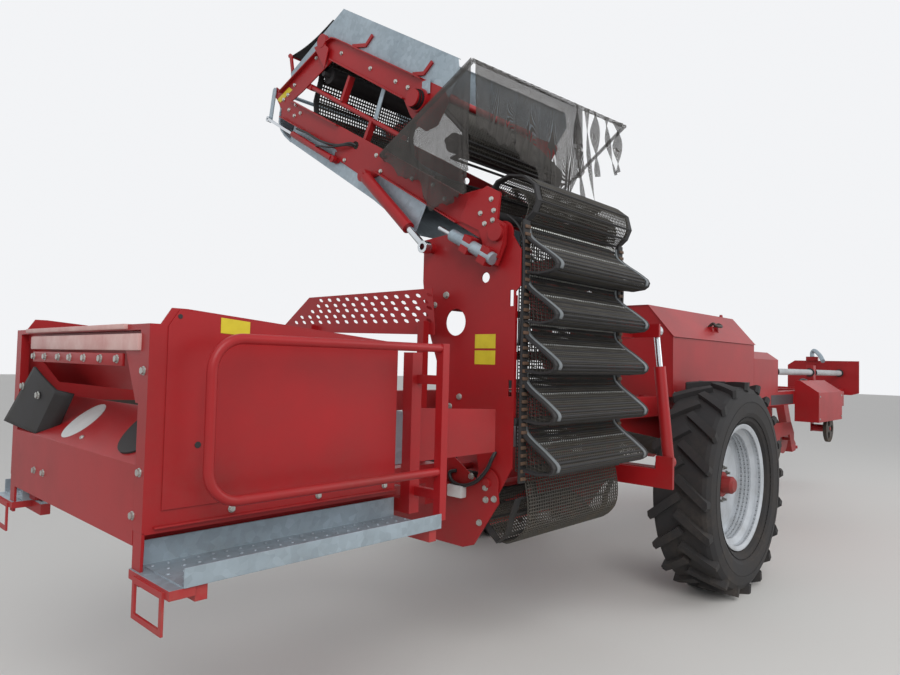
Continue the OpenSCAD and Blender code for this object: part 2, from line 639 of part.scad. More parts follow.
module mast_outline() difference() {
    union() {
        polygon([[-450, 2560], [-640, 2575], [-950, 2520], [-1150, 2520], [-1212, 2430], [-1212, 2230],
            [-1180, 2200], [-1180, 1230], [-1090, 1080], [-960, 1080], [-920, 1300], [-810, 1350],
            [-600, 1770], [-490, 2050], [-450, 2300]]);
        translate(low_pivot) circle(r = 78);
        translate(hinge_yz) circle(r = 75);
        translate(top_roller) circle(r = 70);
        translate([-1040, 2560]) square([90, 100]);
    }
    translate(low_pivot) circle(d = pin_d + 2 * gap);
    translate([-734, 2040]) circle(d = 160);
    translate([-961, 2292]) circle(d = 60);
    translate([-823, 1493]) circle(d = 70);
    for (z = [2120, 1620]) translate([-1166, z]) square([26, 90]);
}
hinge_yz = boom_pt(boom_hinge);
module mast() on_elev() color(red) {
    both_sides(mast_off, side_t) mast_outline();
    for (s = [0, 1]) mirror([s, 0, 0])
        block([-mast_off + side_t, -1180, 1510], [-mast_off + side_t + 14, -1172, 2180]);
    for (p = [[-560, 2150], [-780, 1600], [-950, 1850]])
        bar_x(-mast_off + side_t, 2 * (mast_off - side_t), p[0], p[1], 50);
    for (s = [-1, 1]) {
        translate([s * mast_off, hinge_yz[0], hinge_yz[1]]) rotate([0, s * 90, 0]) {
            cylinder(d = pin_d, h = 34);
            translate([0, 0, 30]) cylinder(d = 70, h = 10);
        }
        translate([s * mast_off, boom_eye[0], boom_eye[1]]) rotate([0, s * 90, 0])
            cylinder(d = 60, h = cyl_off - ram_w / 2 - 1 - mast_off);
    }
    // Bracket and boss of the tilting cylinder
    block([mast_off, -1180, 2000], [mast_off + 240, -1120, 2100]);
    block([mast_off + 216, tilt_up[0] - 45, 2005], [mast_off + 240, -1120, 2095]);
}
web_foot = 1225;
web_top = [[-1206, 2596], [-1262, 2640], [-1290, 2700], [-1266, 2790], [-1190, 2850], [-1090, 2872],
    [-1000, 2850], [-940, 2780], [-925, 2700]];
mast_path = concat(
    [for (k = [0 : 4], p = pocket) [belt_y - p[0] * pocket_d, web_foot + (k + p[1]) * pocket_pitch]],
    web_top);
module mast_web() on_elev() color(black) {
    web_strip(mast_path);
    web_rods(mast_path);
    for (z = [web_foot + 0.94 * pocket_pitch, web_foot + 3.94 * pocket_pitch])
        bar_x(-mast_off + side_t, 2 * (mast_off - side_t), -1175, z, 40);
    // Upper roller
    bar_x(-mast_off + side_t, 2 * (mast_off - side_t), top_roller[0], top_roller[1], 40);
    bar_x(-web_half + 4, 2 * web_half - 8, top_roller[0], top_roller[1], 60);
}
top_roller = [-960, 2660];

ram_w = 50;
tilt_x = 1330;
tilt_low = [-1430, 1170];
tilt_up = [-1330, 2050];
tilt_v = tilt_up - tilt_low;
module on_tilt() translate([-tilt_x, tilt_low[0], tilt_low[1]]) rotate([angle_of(tilt_v), 0, 0]) children();
module tilt_barrel() color(red) on_tilt() ram_barrel(640, 76, 84, ram_w, ram_pin, 40);
module tilt_rod() color(steel) on_tilt() ram_rod(360, norm(tilt_v), 40, 76, ram_w, ram_pin);

// Boom, drawn along s and h

upper_beam = [[900, 350], [1000, 390], [1110, 462], [2040, 506], [2300, 211], [2480, 36], [2528, 20],
    [2614, 60], [2700, 90], [2712, 130], [2680, 150], [2600, 140], [2166, 616], [2110, 655], [2054, 662],
    [790, 618], [700, 560], [720, 400], [800, 340]];
lower_beam = [[boom_l - 192, 36], [2400, 116], [1060, 116], [300, 105], [131, 211], [23, 212], [-37, 74],
    [-111, 73], [-157, -23], [-165, -120], [-20, -70], [1080, -44], [1180, -118], [1555, -104], [1640, -44],
    [2480, -44]];
module boom_side() {
    polygon(lower_beam);
    polygon(upper_beam);
    polygon([[1540, -60], [1640, -60], [1628, -128], [1596, -140], [1560, -120]]);
}
module boom_plate() difference() {
    boom_side();
    translate(boom_hinge) circle(d = pin_d + 2 * gap);
    translate(tip_hinge) circle(d = 30 + 2 * gap);
    hull() for (s = [1430, 1446]) translate([s, 50]) circle(d = 52);
}
// Flanges that stand out from the side plates
flange = 28;
beam_edges = [[[1100, 462], [2040, 506], [2040, 514], [1100, 470]], [[1000, 616], [2054, 654], [2054, 662], [1000, 625]],
    [[2054, 654], [2106, 648], [2160, 612], [2590, 124], [2596, 130], [2166, 618], [2110, 656], [2054, 662]],
    [[1660, -44], [2470, -44], [2470, -36], [1660, -36]], [[1700, 108], [2400, 108], [2400, 116], [1700, 116]],
    [[240, -60], [1120, -43], [1120, -35], [240, -52]], [[300, 97], [1060, 108], [1060, 116], [300, 105]]];
boom_bars = [[200, 20], [1450, -20], [1000, 578], [1900, 612], [2380, 60]];
boom_bar_d = 50;
module boom_bar_holes() for (p = boom_bars) translate(p) circle(d = boom_bar_d + 2 * gap);
module boom_frame() on_boom() color(red) {
    both_sides(boom_face, side_t) boom_plate();
    for (e = beam_edges) both_sides(boom_face + flange, flange) polygon(e);
    for (p = boom_bars) bar_x(-boom_in, 2 * boom_in, p[0], p[1], boom_bar_d);
    bar([-boom_in + 22, 1000, 240], [-boom_in + 22, 2240, 270], 34);
    for (p = [[1378, 110, 246], [1785, 470, 276]])
        plate_x(-boom_in, 46) polygon([[p[0] - 14, p[1] - 10], [p[0] + 14, p[1] - 10], [p[0] + 14, p[2]], [p[0] - 14, p[2]]]);
    plate_x(-boom_in, 46) polygon([[2215, 246], [2290, 246], [2290, 290], [2215, 290]]);
    for (s = [-1, 1])
        translate([s * boom_face, boom_pin[0], boom_pin[1]]) rotate([0, s * 90, 0])
            cylinder(d = ram_pin, h = cyl_off + ram_w / 2 + 4 - boom_face);
    translate([-boom_face, tip_pin[0], tip_pin[1]]) rotate([0, -90, 0]) cylinder(d = 24, h = tip_off - boom_face + 16);
    // Gusset at the bend
    plate_x(-boom_face - flange, 8) polygon([[2279, 543], [2069, 441], [2093, 576], [2180, 600]]);
}
boom_face = boom_off + side_t + 8;
boom_in = boom_face - side_t;
tip_hinge = [2680, 118];
tip_pin = [1596, -110];
tip_eye = [2611, -103];
tip_off = boom_face + 30;
module boom_hood() on_boom() color(galv) {
    both_sides(boom_in, 4) difference() {
        polygon([[718, 580], [698, 721], [767, 810], [2114, 870], [2554, 296], [2480, 220], [2020, 560]]);
        boom_bar_holes();
    }
    for (s = [0, 1]) mirror([s, 0, 0])
        plate_x(-boom_in, 24) polygon([[767, 810], [2114, 870], [2554, 296], [2548, 292], [2112, 866], [767, 806]]);
}
module boom_tray() on_boom() color(galv) {
    both_sides(boom_in, 4) difference() {
        polygon([[560, 0], [2270, 0], [2270, -175], [1058, -214], [560, -262]]);
        boom_bar_holes();
    }
    plate_x(-boom_in + 4, 2 * boom_in - 8)
        polygon([[560, -262], [1058, -214], [2270, -175], [2270, -171], [1058, -210], [560, -258]]);
}
web_roller = [600, 345];
end_roller = [2110, 400];
boom_path = concat(arc(web_roller, 95, 250, 120, 4),
    [[800, 500], [1100, 545], [1400, 548], [1700, 560], [1980, 565]], arc(end_roller, 130, 90, -30, 5),
    [[2200, 180], [2090, 30], [1800, -40], [1400, -70], [1000, -80], [750, -20], [620, 120]]);
module boom_web() on_boom() color(black) {
    web_strip(boom_path);
    web_rods(boom_path);
    for (p = [web_roller, end_roller]) {
        bar_x(-boom_in, 2 * boom_in, p[0], p[1], 40);
        bar_x(-web_half + 4, 2 * web_half - 8, p[0], p[1], 120);
    }
}
module boom_motor() on_boom() color(red) translate([-boom_face, 944, 494]) rotate([0, -90, 0]) {
    cylinder(d = 150, h = 30);
    cylinder(d = 110, h = 80);
}

boom_pin = [1174, -94];
boom_eye = [-530, 2500];
cyl_off = boom_off + 60;
boom_pin_yz = boom_pt(boom_pin);
boom_v = boom_eye - boom_pin_yz;
module on_boom_ram() for (s = [-1, 1])
    translate([-elev_x + s * cyl_off, boom_pin_yz[0], boom_pin_yz[1]]) rotate([angle_of(boom_v), 0, 0]) children();
module boom_barrels() color(red) on_boom_ram() ram_barrel(610, 80, 88, ram_w, ram_pin, 44);
module boom_rods() color(steel) on_boom_ram() ram_rod(330, norm(boom_v), 44, 76, ram_w, ram_pin);
net_x = boom_face + flange + 14;
net_a = [-net_x, 1082, 80];
net_b = [-net_x, 580, 817];
net_c = [net_x, 279, 864];
net_d = [net_x, 640, 80];
module net_frame() on_boom() color(black) {
    for (p = [[net_a, net_b], [net_b, net_c], [net_c, net_d]]) bar(p[0], p[1], 24);
    for (p = [net_a, net_b, net_c, net_d]) translate(p) sphere(d = 28);
    for (p = [net_a, net_d]) bar_x(p[0] < 0 ? p[0] : boom_face, net_x - boom_face, p[1], p[2], 22);
}
net_t = 6;
net_drop = 430;
module net() on_boom() color(black) {
    down = [0, -sin(boom_tilt), -cos(boom_tilt)];
    // Side sheet, then the curtain that hangs from the crossbar
    plate_x(-net_x - 14 - net_t, net_t)
        polygon([[1070, 90], [580, 829], [362, 423], [210, 150], [420, -30], [600, 60]]);
    c = [net_b + down * 23, net_c + down * 23, net_c + down * net_drop, net_b + down * net_drop];
    polyhedron([for (k = [0, 1], p = c) p + [0, k * net_t, 0]],
        [[0, 1, 2, 3], [7, 6, 5, 4], [4, 5, 1, 0], [5, 6, 2, 1], [6, 7, 3, 2], [7, 4, 0, 3]]);
}
flap_sheet = [[2560, 40], [2575, -20], [2545, -90], [2480, -140], [2400, -165], [2290, -180]];
module tip_flap() on_boom() color(galv) {
    // Lever, shaft and arms
    plate_x(-boom_face - 13, 8) difference() {
        hull() for (p = [tip_hinge, tip_eye]) translate(p) circle(d = 48);
        translate(tip_eye) circle(d = 16);
    }
    bar_x(-boom_face - 13, 2 * boom_face + 20, tip_hinge[0], tip_hinge[1], 30);
    for (x = [-flap_half, flap_half - 10]) plate_x(x, 10) polygon([[2700, 110], [2680, 140], [2552, 46],
        [2562, -20], [2532, -82], [2472, -128], [2396, -152], [2290, -166], [2290, -180], [2400, -165],
        [2480, -140], [2545, -90], [2575, -20], [2582, 10]]);
    plate_x(-flap_half, 2 * flap_half) polygon(ribbon(flap_sheet, 5));
}
flap_half = 560;
tip_v = tip_eye - tip_pin;
module on_tip_ram() on_boom() translate([-tip_off, tip_pin[0], tip_pin[1]]) rotate([angle_of(tip_v), 0, 0]) children();
module tip_barrel() color(red) on_tip_ram() ram_barrel(600, 46, 50, 30, 24, 24);
module tip_rod() color(steel) on_tip_ram() ram_rod(450, norm(tip_v), 24, 44, 20, 16);

place() tyre(-1);  // tyre_right
place() tyre(1);  // tyre_left
place() rim(-1);  // rim_right
place() rim(1);  // rim_left
place() hub(-1);  // hub_right
place() hub(1);  // hub_left
place() axle();
place() chassis();
place() cross_beams();
place() platform_frame();
place() drawbar();
place() drawbar_brace();
place() front_plate();
place() jack_leg();
place() main_channel();
place() main_web();
place() digger_frame();
place() digger_web();
place() digger_discs();
place() ridge_rollers();
place() lift_barrel();
place() lift_rod();
place() hood_base();
place() hood_lid();
place() gearbox_cover();
place() drive_box();
place() drive_pulley();
place() drive_shaft();
place() sorting_box();
place() sorting_table();
place() rear_chute();
place() chute_flap();
place() front_guard();
place() walkway();  // walkway_right
place() mirrored_left() walkway();  // walkway_left
place() railing();  // railing_right
place() mirrored_left() railing();  // railing_left
place() elevator_base();
place() base_web();
place() mast();
place() mast_web();
place() tilt_barrel();
place() tilt_rod();
place() boom_frame();
place() boom_hood();
place() boom_tray();
place() boom_web();
place() boom_motor();
place() boom_barrels();
place() boom_rods();
place() net_frame();
place() net();
place() tip_flap();
place() tip_barrel();
place() tip_rod();
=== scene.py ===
"""Looks of a trailed potato harvester with a pocket elevator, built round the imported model."""

import json
import logging
import math
import random
from dataclasses import dataclass
from enum import Enum
from typing import Any, Callable, Dict, Iterable, List, Optional, Sequence, Tuple

import bmesh
import bpy
from mathutils import Matrix, Vector

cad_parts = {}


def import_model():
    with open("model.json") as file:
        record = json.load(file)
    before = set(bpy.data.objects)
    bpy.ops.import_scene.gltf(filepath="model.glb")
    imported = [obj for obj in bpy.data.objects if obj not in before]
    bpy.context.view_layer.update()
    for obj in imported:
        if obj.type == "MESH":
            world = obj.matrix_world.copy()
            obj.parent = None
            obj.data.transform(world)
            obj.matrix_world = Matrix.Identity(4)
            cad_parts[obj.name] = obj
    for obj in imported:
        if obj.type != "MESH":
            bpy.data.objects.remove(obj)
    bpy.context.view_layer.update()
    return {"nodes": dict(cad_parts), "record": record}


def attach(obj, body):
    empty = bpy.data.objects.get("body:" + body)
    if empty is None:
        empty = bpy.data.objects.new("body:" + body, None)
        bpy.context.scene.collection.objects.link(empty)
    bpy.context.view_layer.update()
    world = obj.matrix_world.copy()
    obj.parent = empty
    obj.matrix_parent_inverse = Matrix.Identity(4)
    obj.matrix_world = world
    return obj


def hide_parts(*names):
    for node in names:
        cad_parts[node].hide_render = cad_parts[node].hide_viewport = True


LOG = logging.getLogger("harvester")
MM = 0.001
Point = Tuple[float, float, float]
Pairs = Sequence[Tuple[float, float]]
Profile = Tuple[Tuple[float, float], ...]

# Behind the machine's own middle: the wheel axle stands at this X
AXLE_X = -0.825
# Middle of the elevator, in millimetres from the axle
ELEVATOR = -2158
ELEVATOR_X = AXLE_X + ELEVATOR * MM
BOOM_TILT = math.radians(29.0)
TOP_PIVOT = Vector((ELEVATOR_X, -1.0, 2.56))
# Rear face of the sorting box; the chute's lower sheet starts there and climbs 160 in 190
BOX_REAR = -4735
CHUTE_FOOT = 1440
CHUTE_RISE = 160 / 190
CHUTE_OUT = Vector((-0.644, 0, 0.765))
# Directions square to the hood's lid and down along it
LID_OUT = Vector((0, -0.761, 0.649))
LID_DOWN = Vector((0, -0.649, -0.761))
# Width of a zinc crystal and of a clump of dust, of which 26 fit in a metre
CRYSTAL_MM = 28.0
CLUMP_MM = 1000 / 26
# Dust lies full below the first height and ends at the second, in metres
DUST_FULL = 0.4
DUST_END = 1.9
# The net's real threads stand closer and are too fine to show, so they are drawn at 5 mm
THREAD_MM = 5.0
THREAD_SHARE = 0.32
# Faces that meet at more than this angle keep a sharp edge
SHARP = math.radians(35)


def linear(hex_colour: str) -> Tuple[float, float, float, float]:
    """Turns an sRGB hex colour into linear values.

    Args:
        hex_colour: Colour such as "#b3222b".

    Returns:
        Red, green, blue and an alpha of one, in linear light.
    """
    values = [int(hex_colour[i:i + 2], 16) / 255 for i in (1, 3, 5)]
    return tuple([v / 12.92 if v <= 0.04045 else ((v + 0.055) / 1.055) ** 2.4 for v in values] + [1.0])


def node(tree: bpy.types.NodeTree, kind: str, links: Optional[Dict[Any, Any]] = None,
         values: Optional[Dict[Any, Any]] = None, **settings: Any) -> bpy.types.Node:
    """Adds one shader node with its settings, values and links.

    Args:
        tree: Node tree of the material.
        kind: Node type, without the leading word.
        links: Output socket for each input name or number.
        values: Default value for each input name or number.
        settings: Attributes set on the node.

    Returns:
        The new node.
    """
    made = tree.nodes.new("ShaderNode" + kind)
    for key, value in settings.items():
        setattr(made, key, value)
    for key, value in (values or {}).items():
        made.inputs[key].default_value = value
    for key, socket in (links or {}).items():
        tree.links.new(socket, made.inputs[key])
    return made


def weave(tree: bpy.types.NodeTree, place: bpy.types.NodeSocket, pitch_mm: float,
          thread: float) -> bpy.types.NodeSocket:
    """Draws crossed threads, one where a thread runs and nought in the holes.

    Args:
        tree: Node tree of the material.
        place: Coordinates, in metres.
        pitch_mm: Spacing of the threads.
        thread: Share of the spacing that a thread takes.

    Returns:
        The pattern's socket.
    """
    split = node(tree, "SeparateXYZ", {"Vector": place})
    across = node(tree, "Math", {0: split.outputs["X"], 1: split.outputs["Y"]}, operation="ADD")
    threads = []
    for socket in (across.outputs[0], split.outputs["Z"]):
        count = node(tree, "Math", {0: socket}, {1: 1000 / pitch_mm}, operation="MULTIPLY")
        share = node(tree, "Math", {0: count.outputs[0]}, operation="FRACT")
        solid = node(tree, "Math", {0: share.outputs[0]}, {1: thread}, operation="LESS_THAN")
        threads.append(solid.outputs[0])
    return node(tree, "Math", {0: threads[0], 1: threads[1]}, operation="MAXIMUM").outputs[0]


class Sheen(Enum):
    """How a surface takes its pattern."""

    PAINT = "paint"
    SPANGLE = "spangle"
    RUBBER = "rubber"
    METAL = "metal"
    NET = "net"


@dataclass(frozen=True)
class Finish:
    """One finish of the machine, from its colours and the size of its pattern.

    Args:
        name: Plain name of the real material.
        colour: Main colour, sRGB hex.
        shade: Second colour that its patches drift to.
        dirt: Colour of the dust on it.
        sheen: Which kind of surface it is.
        rough: Roughness.
        metallic: Metallic value.
        grain_mm: Size of the small pattern.
        patch_mm: Size of the large patches.
        dust: How much dust lies on it, from 0 to 1.
        bump: Strength of the small relief.
        edge_mm: Radius of the worn edges.
        below_m: Height under which the piece is enamelled instead, in metres.
        below: Colour of that enamel.
    """

    name: str
    colour: str
    shade: str
    dirt: str
    sheen: Sheen
    rough: float
    metallic: float = 0.0
    grain_mm: float = 3.0
    patch_mm: float = 350.0
    dust: float = 0.3
    bump: float = 0.15
    edge_mm: float = 3.0
    below_m: float = 0.0
    below: str = ""

    def build(self) -> bpy.types.Material:
        """Builds the material's nodes.

        Returns:
            The finished material.
        """
        made = bpy.data.materials.new(self.name)
        made.use_nodes = True
        tree = made.node_tree
        tree.nodes.clear()
        place = node(tree, "TexCoord").outputs["Object"]
        patch = node(tree, "TexNoise", {"Vector": place},
                     {"Scale": 1000 / self.patch_mm, "Detail": 5.0, "Roughness": 0.6}).outputs["Fac"]
        grain = node(tree, "TexNoise", {"Vector": place},
                     {"Scale": 1000 / self.grain_mm, "Detail": 2.0}).outputs["Fac"]
        drift = node(tree, "MapRange", {"Value": patch}, {"From Min": 0.35, "From Max": 0.7})
        mixed = node(tree, "Mix", {0: drift.outputs["Result"]},
                     {6: linear(self.colour), 7: linear(self.shade)}, data_type="RGBA")
        colour = mixed.outputs[2]
        if self.sheen is Sheen.SPANGLE:
            flakes = node(tree, "TexVoronoi", {"Vector": place}, {"Scale": 1000 / CRYSTAL_MM})
            tone = node(tree, "MapRange", {"Value": flakes.outputs["Color"]}, {"To Min": 0.86, "To Max": 1.1})
            shift = node(tree, "HueSaturation", {"Color": colour, "Value": tone.outputs["Result"]})
            colour = shift.outputs["Color"]
        height = node(tree, "SeparateXYZ", {"Vector": place}).outputs["Z"]
        low_down = node(tree, "MapRange", {"Value": height}, {"From Min": DUST_END, "From Max": DUST_FULL})
        metal = None
        if self.below:
            under = node(tree, "Math", {0: height}, {1: self.below_m}, operation="LESS_THAN").outputs[0]
            split = node(tree, "Mix", {0: under, 6: colour}, {7: linear(self.below)}, data_type="RGBA")
            colour = split.outputs[2]
            metal = node(tree, "Math", {0: under}, {1: -self.metallic, 2: self.metallic},
                         operation="MULTIPLY_ADD").outputs[0]
        stained = node(tree, "MapRange", {"Value": patch}, {"From Min": 0.42, "From Max": 0.72})
        amount = node(tree, "Math", {0: stained.outputs["Result"], 1: low_down.outputs["Result"]},
                      operation="MULTIPLY")
        fine = node(tree, "TexNoise", {"Vector": place},
                    {"Scale": 1000 / CLUMP_MM, "Detail": 8.0, "Roughness": 0.75})
        clumps = node(tree, "MapRange", {"Value": fine.outputs["Fac"]}, {"From Min": 0.3, "From Max": 0.62})
        spread = node(tree, "Math", {0: amount.outputs[0], 1: clumps.outputs["Result"]}, operation="MULTIPLY")
        # Thick clumps low down, and a thin film of dust everywhere
        base = node(tree, "Math", {0: spread.outputs[0]}, {1: self.dust * 1.6}, operation="MULTIPLY")
        film = node(tree, "Math", {0: base.outputs[0]}, {1: self.dust * 0.15}, operation="ADD",
                    use_clamp=True)
        dusty = node(tree, "Mix", {0: film.outputs[0], 6: colour}, {7: linear(self.dirt)}, data_type="RGBA")
        shader = node(tree, "BsdfPrincipled", {"Base Color": dusty.outputs[2]},
                      {"Metallic": self.metallic})
        if metal:
            tree.links.new(metal, shader.inputs["Metallic"])
        rough = node(tree, "Math", {0: film.outputs[0]}, {1: 0.5, 2: self.rough}, operation="MULTIPLY_ADD",
                     use_clamp=True)
        tree.links.new(rough.outputs[0], shader.inputs["Roughness"])
        if self.sheen is Sheen.PAINT:
            shader.inputs["Coat Weight"].default_value = 0.12
            shader.inputs["Coat Roughness"].default_value = 0.25
            shader.inputs["Specular IOR Level"].default_value = 0.35
        bevel = node(tree, "Bevel", {}, {"Radius": self.edge_mm * MM}, samples=4)
        bump = node(tree, "Bump", {"Height": grain, "Normal": bevel.outputs["Normal"]},
                    {"Strength": self.bump, "Distance": self.grain_mm * MM * 0.3})
        tree.links.new(bump.outputs["Normal"], shader.inputs["Normal"])
        if self.sheen is Sheen.NET:
            tree.links.new(weave(tree, place, THREAD_MM, THREAD_SHARE), shader.inputs["Alpha"])
        node(tree, "OutputMaterial", {"Surface": shader.outputs["BSDF"]})
        return made


FINISHES: Dict[str, Finish] = {
    # Sprayed enamel on steel plate: even red, weak gloss, dust low down
    "red_paint": Finish("sprayed red enamel", "#a60a15", "#900812", "#6f5a4c", Sheen.PAINT, 0.42,
                        patch_mm=600),
    # Sprayed hub enamel: a duller red, brown with brake dust and soil
    "hub_paint": Finish("hub enamel", "#a5121c", "#840f18", "#6d5b4c", Sheen.PAINT, 0.5, dust=0.5),
    # Stoved silver enamel of a rim: pale and even, with a soft gloss
    "rim_paint": Finish("silver rim enamel", "#c6cbd0", "#b3b9be", "#8a8074", Sheen.PAINT, 0.45, dust=0.25,
                        patch_mm=250),
    # Hot-dip zinc: pale bluish grey with 28 mm crystals
    "galvanised": Finish("hot-dip zinc", "#a9b7c0", "#93a2ac", "#8b8170", Sheen.SPANGLE, 0.48, metallic=0.6,
                         dust=0.3, patch_mm=400),
    # Hot-dip zinc of the walkways, which turns to enamel red on the brackets under them
    "walkway": Finish("zinc walkway on red brackets", "#a9b7c0", "#93a2ac", "#8b8170", Sheen.SPANGLE, 0.48,
                      metallic=0.6, dust=0.3, patch_mm=400, below_m=1.1075, below="#a50d18"),
    # Moulded polyethylene of a shaft guard: even grey and matt
    "guard_grey": Finish("grey polyethylene", "#b9bdbf", "#a5a9ab", "#857a6c", Sheen.RUBBER, 0.55),
    # Soil-worn spring steel of rods and discs: dark, half matt, dusty
    "dark_steel": Finish("worn spring steel", "#4a4745", "#383533", "#6b5c4c", Sheen.METAL, 0.5, metallic=0.7,
                         dust=0.6, patch_mm=120),
    # Plated and ground hard chrome of a piston rod: a clean mirror
    "rod_chrome": Finish("hard chrome", "#d8dce0", "#c9ced2", "#9a958c", Sheen.METAL, 0.18, metallic=1.0,
                         dust=0.05, bump=0.02),
    # Rolled belt rubber: dull black under pale dust
    "black_rubber": Finish("belt rubber", "#27272a", "#1c1c1e", "#5c554b", Sheen.RUBBER, 0.7, dust=0.35,
                           patch_mm=180),
    # Knitted polyethylene shade net: dark threads that light passes between
    "net_black": Finish("knitted shade net", "#4f4c49", "#3c3a38", "#6a655c", Sheen.NET, 0.8, dust=0.2,
                        patch_mm=200),
    # Moulded tyre rubber: black, greyed by dust between the lugs
    "tyre": Finish("tyre rubber", "#242426", "#1b1b1d", "#57504a", Sheen.RUBBER, 0.78, dust=0.45,
                   patch_mm=220, grain_mm=4.0),
    # Rubber-coated wires of the webs, grey with dust
    "web_rubber": Finish("dusty coated wire", "#4a4844", "#383633", "#7a7060", Sheen.RUBBER, 0.72, dust=0.5,
                         patch_mm=160),
    # Woven strap of a pocket's end: matt mid grey
    "strap_grey": Finish("grey woven strap", "#80868a", "#6c7276", "#7a7264", Sheen.RUBBER, 0.6, dust=0.4,
                         patch_mm=120),
    # Zinc plating of bolts: bright, lightly stained
    "zinc_bolt": Finish("zinc plating", "#c4c6c2", "#a9aba6", "#8a8171", Sheen.METAL, 0.35, metallic=0.8,
                        dust=0.2, patch_mm=60),
    # Aged zinc plating, grey and matt
    "zinc_dull": Finish("aged zinc plating", "#8f918e", "#6f706d", "#6e6455", Sheen.METAL, 0.5, metallic=0.7,
                        dust=0.4, patch_mm=60),
    # Rusted steel of the cleats: rough brown without gloss
    "rusty_steel": Finish("rusted steel", "#6f5443", "#4f4238", "#7a6a56", Sheen.METAL, 0.75, metallic=0.3,
                          dust=0.4, patch_mm=60),
    # Cast yellow vinyl film: even, with some gloss
    "yellow_film": Finish("yellow vinyl film", "#d9c52b", "#cbb422", "#8a7c52", Sheen.PAINT, 0.4, dust=0.2,
                          patch_mm=80),
    # Moulded white plastic: smooth, with some gloss
    "white_plastic": Finish("white moulded plastic", "#dcdedd", "#cfd2d1", "#9a9183", Sheen.PAINT, 0.4,
                            dust=0.25, patch_mm=100),
    # Cast dark vinyl film: even, with some gloss
    "dark_film": Finish("dark vinyl film", "#3b3c42", "#333439", "#6a6154", Sheen.PAINT, 0.4, dust=0.2,
                        patch_mm=80),
    # Sprayed enamel bleached by the sun: chalky pink, no gloss
    "faded_paint": Finish("bleached red enamel", "#d6b4ae", "#c48d88", "#98867a", Sheen.PAINT, 0.6, dust=0.3,
                          patch_mm=140),
    # Extruded hose rubber: smooth black with soft lights
    "hose_rubber": Finish("hose rubber", "#1d1d1f", "#161618", "#4c463e", Sheen.RUBBER, 0.5, dust=0.15,
                          patch_mm=90),
}
RECORD_SLOTS = frozenset(("tyre", "rim_paint", "hub_paint", "red_paint", "dark_steel", "rod_chrome",
                          "guard_grey", "black_rubber", "galvanised", "net_black"))


class Palette:
    """Builds each finish once and hands it out by its slot."""

    def __init__(self) -> None:
        """Starts with no material made."""
        self.made: Dict[str, bpy.types.Material] = {}

    def get(self, slot: str) -> bpy.types.Material:
        """Returns the material of a slot, built at its first use.

        Args:
            slot: Slot of the finish.

        Returns:
            The material.
        """
        if slot not in self.made:
            self.made[slot] = FINISHES[slot].build()
        return self.made[slot]


PALETTE = Palette()


def dress_nodes(frame: Dict[str, Any]) -> None:
    """Gives each carried-over node the finish of its slot.
    """
    slots = {s["node"]: s["material_slot"] for s in frame["record"]["subparts"]}
    for name, obj in frame["nodes"].items():
        made = PALETTE.get("walkway" if name.startswith("walkway_") else slots[name])
        if obj.data.materials:
            for i in range(len(obj.data.materials)):
                obj.data.materials[i] = made
        else:
            obj.data.materials.append(made)
        LOG.info("node %s gets %s", name, made.name)


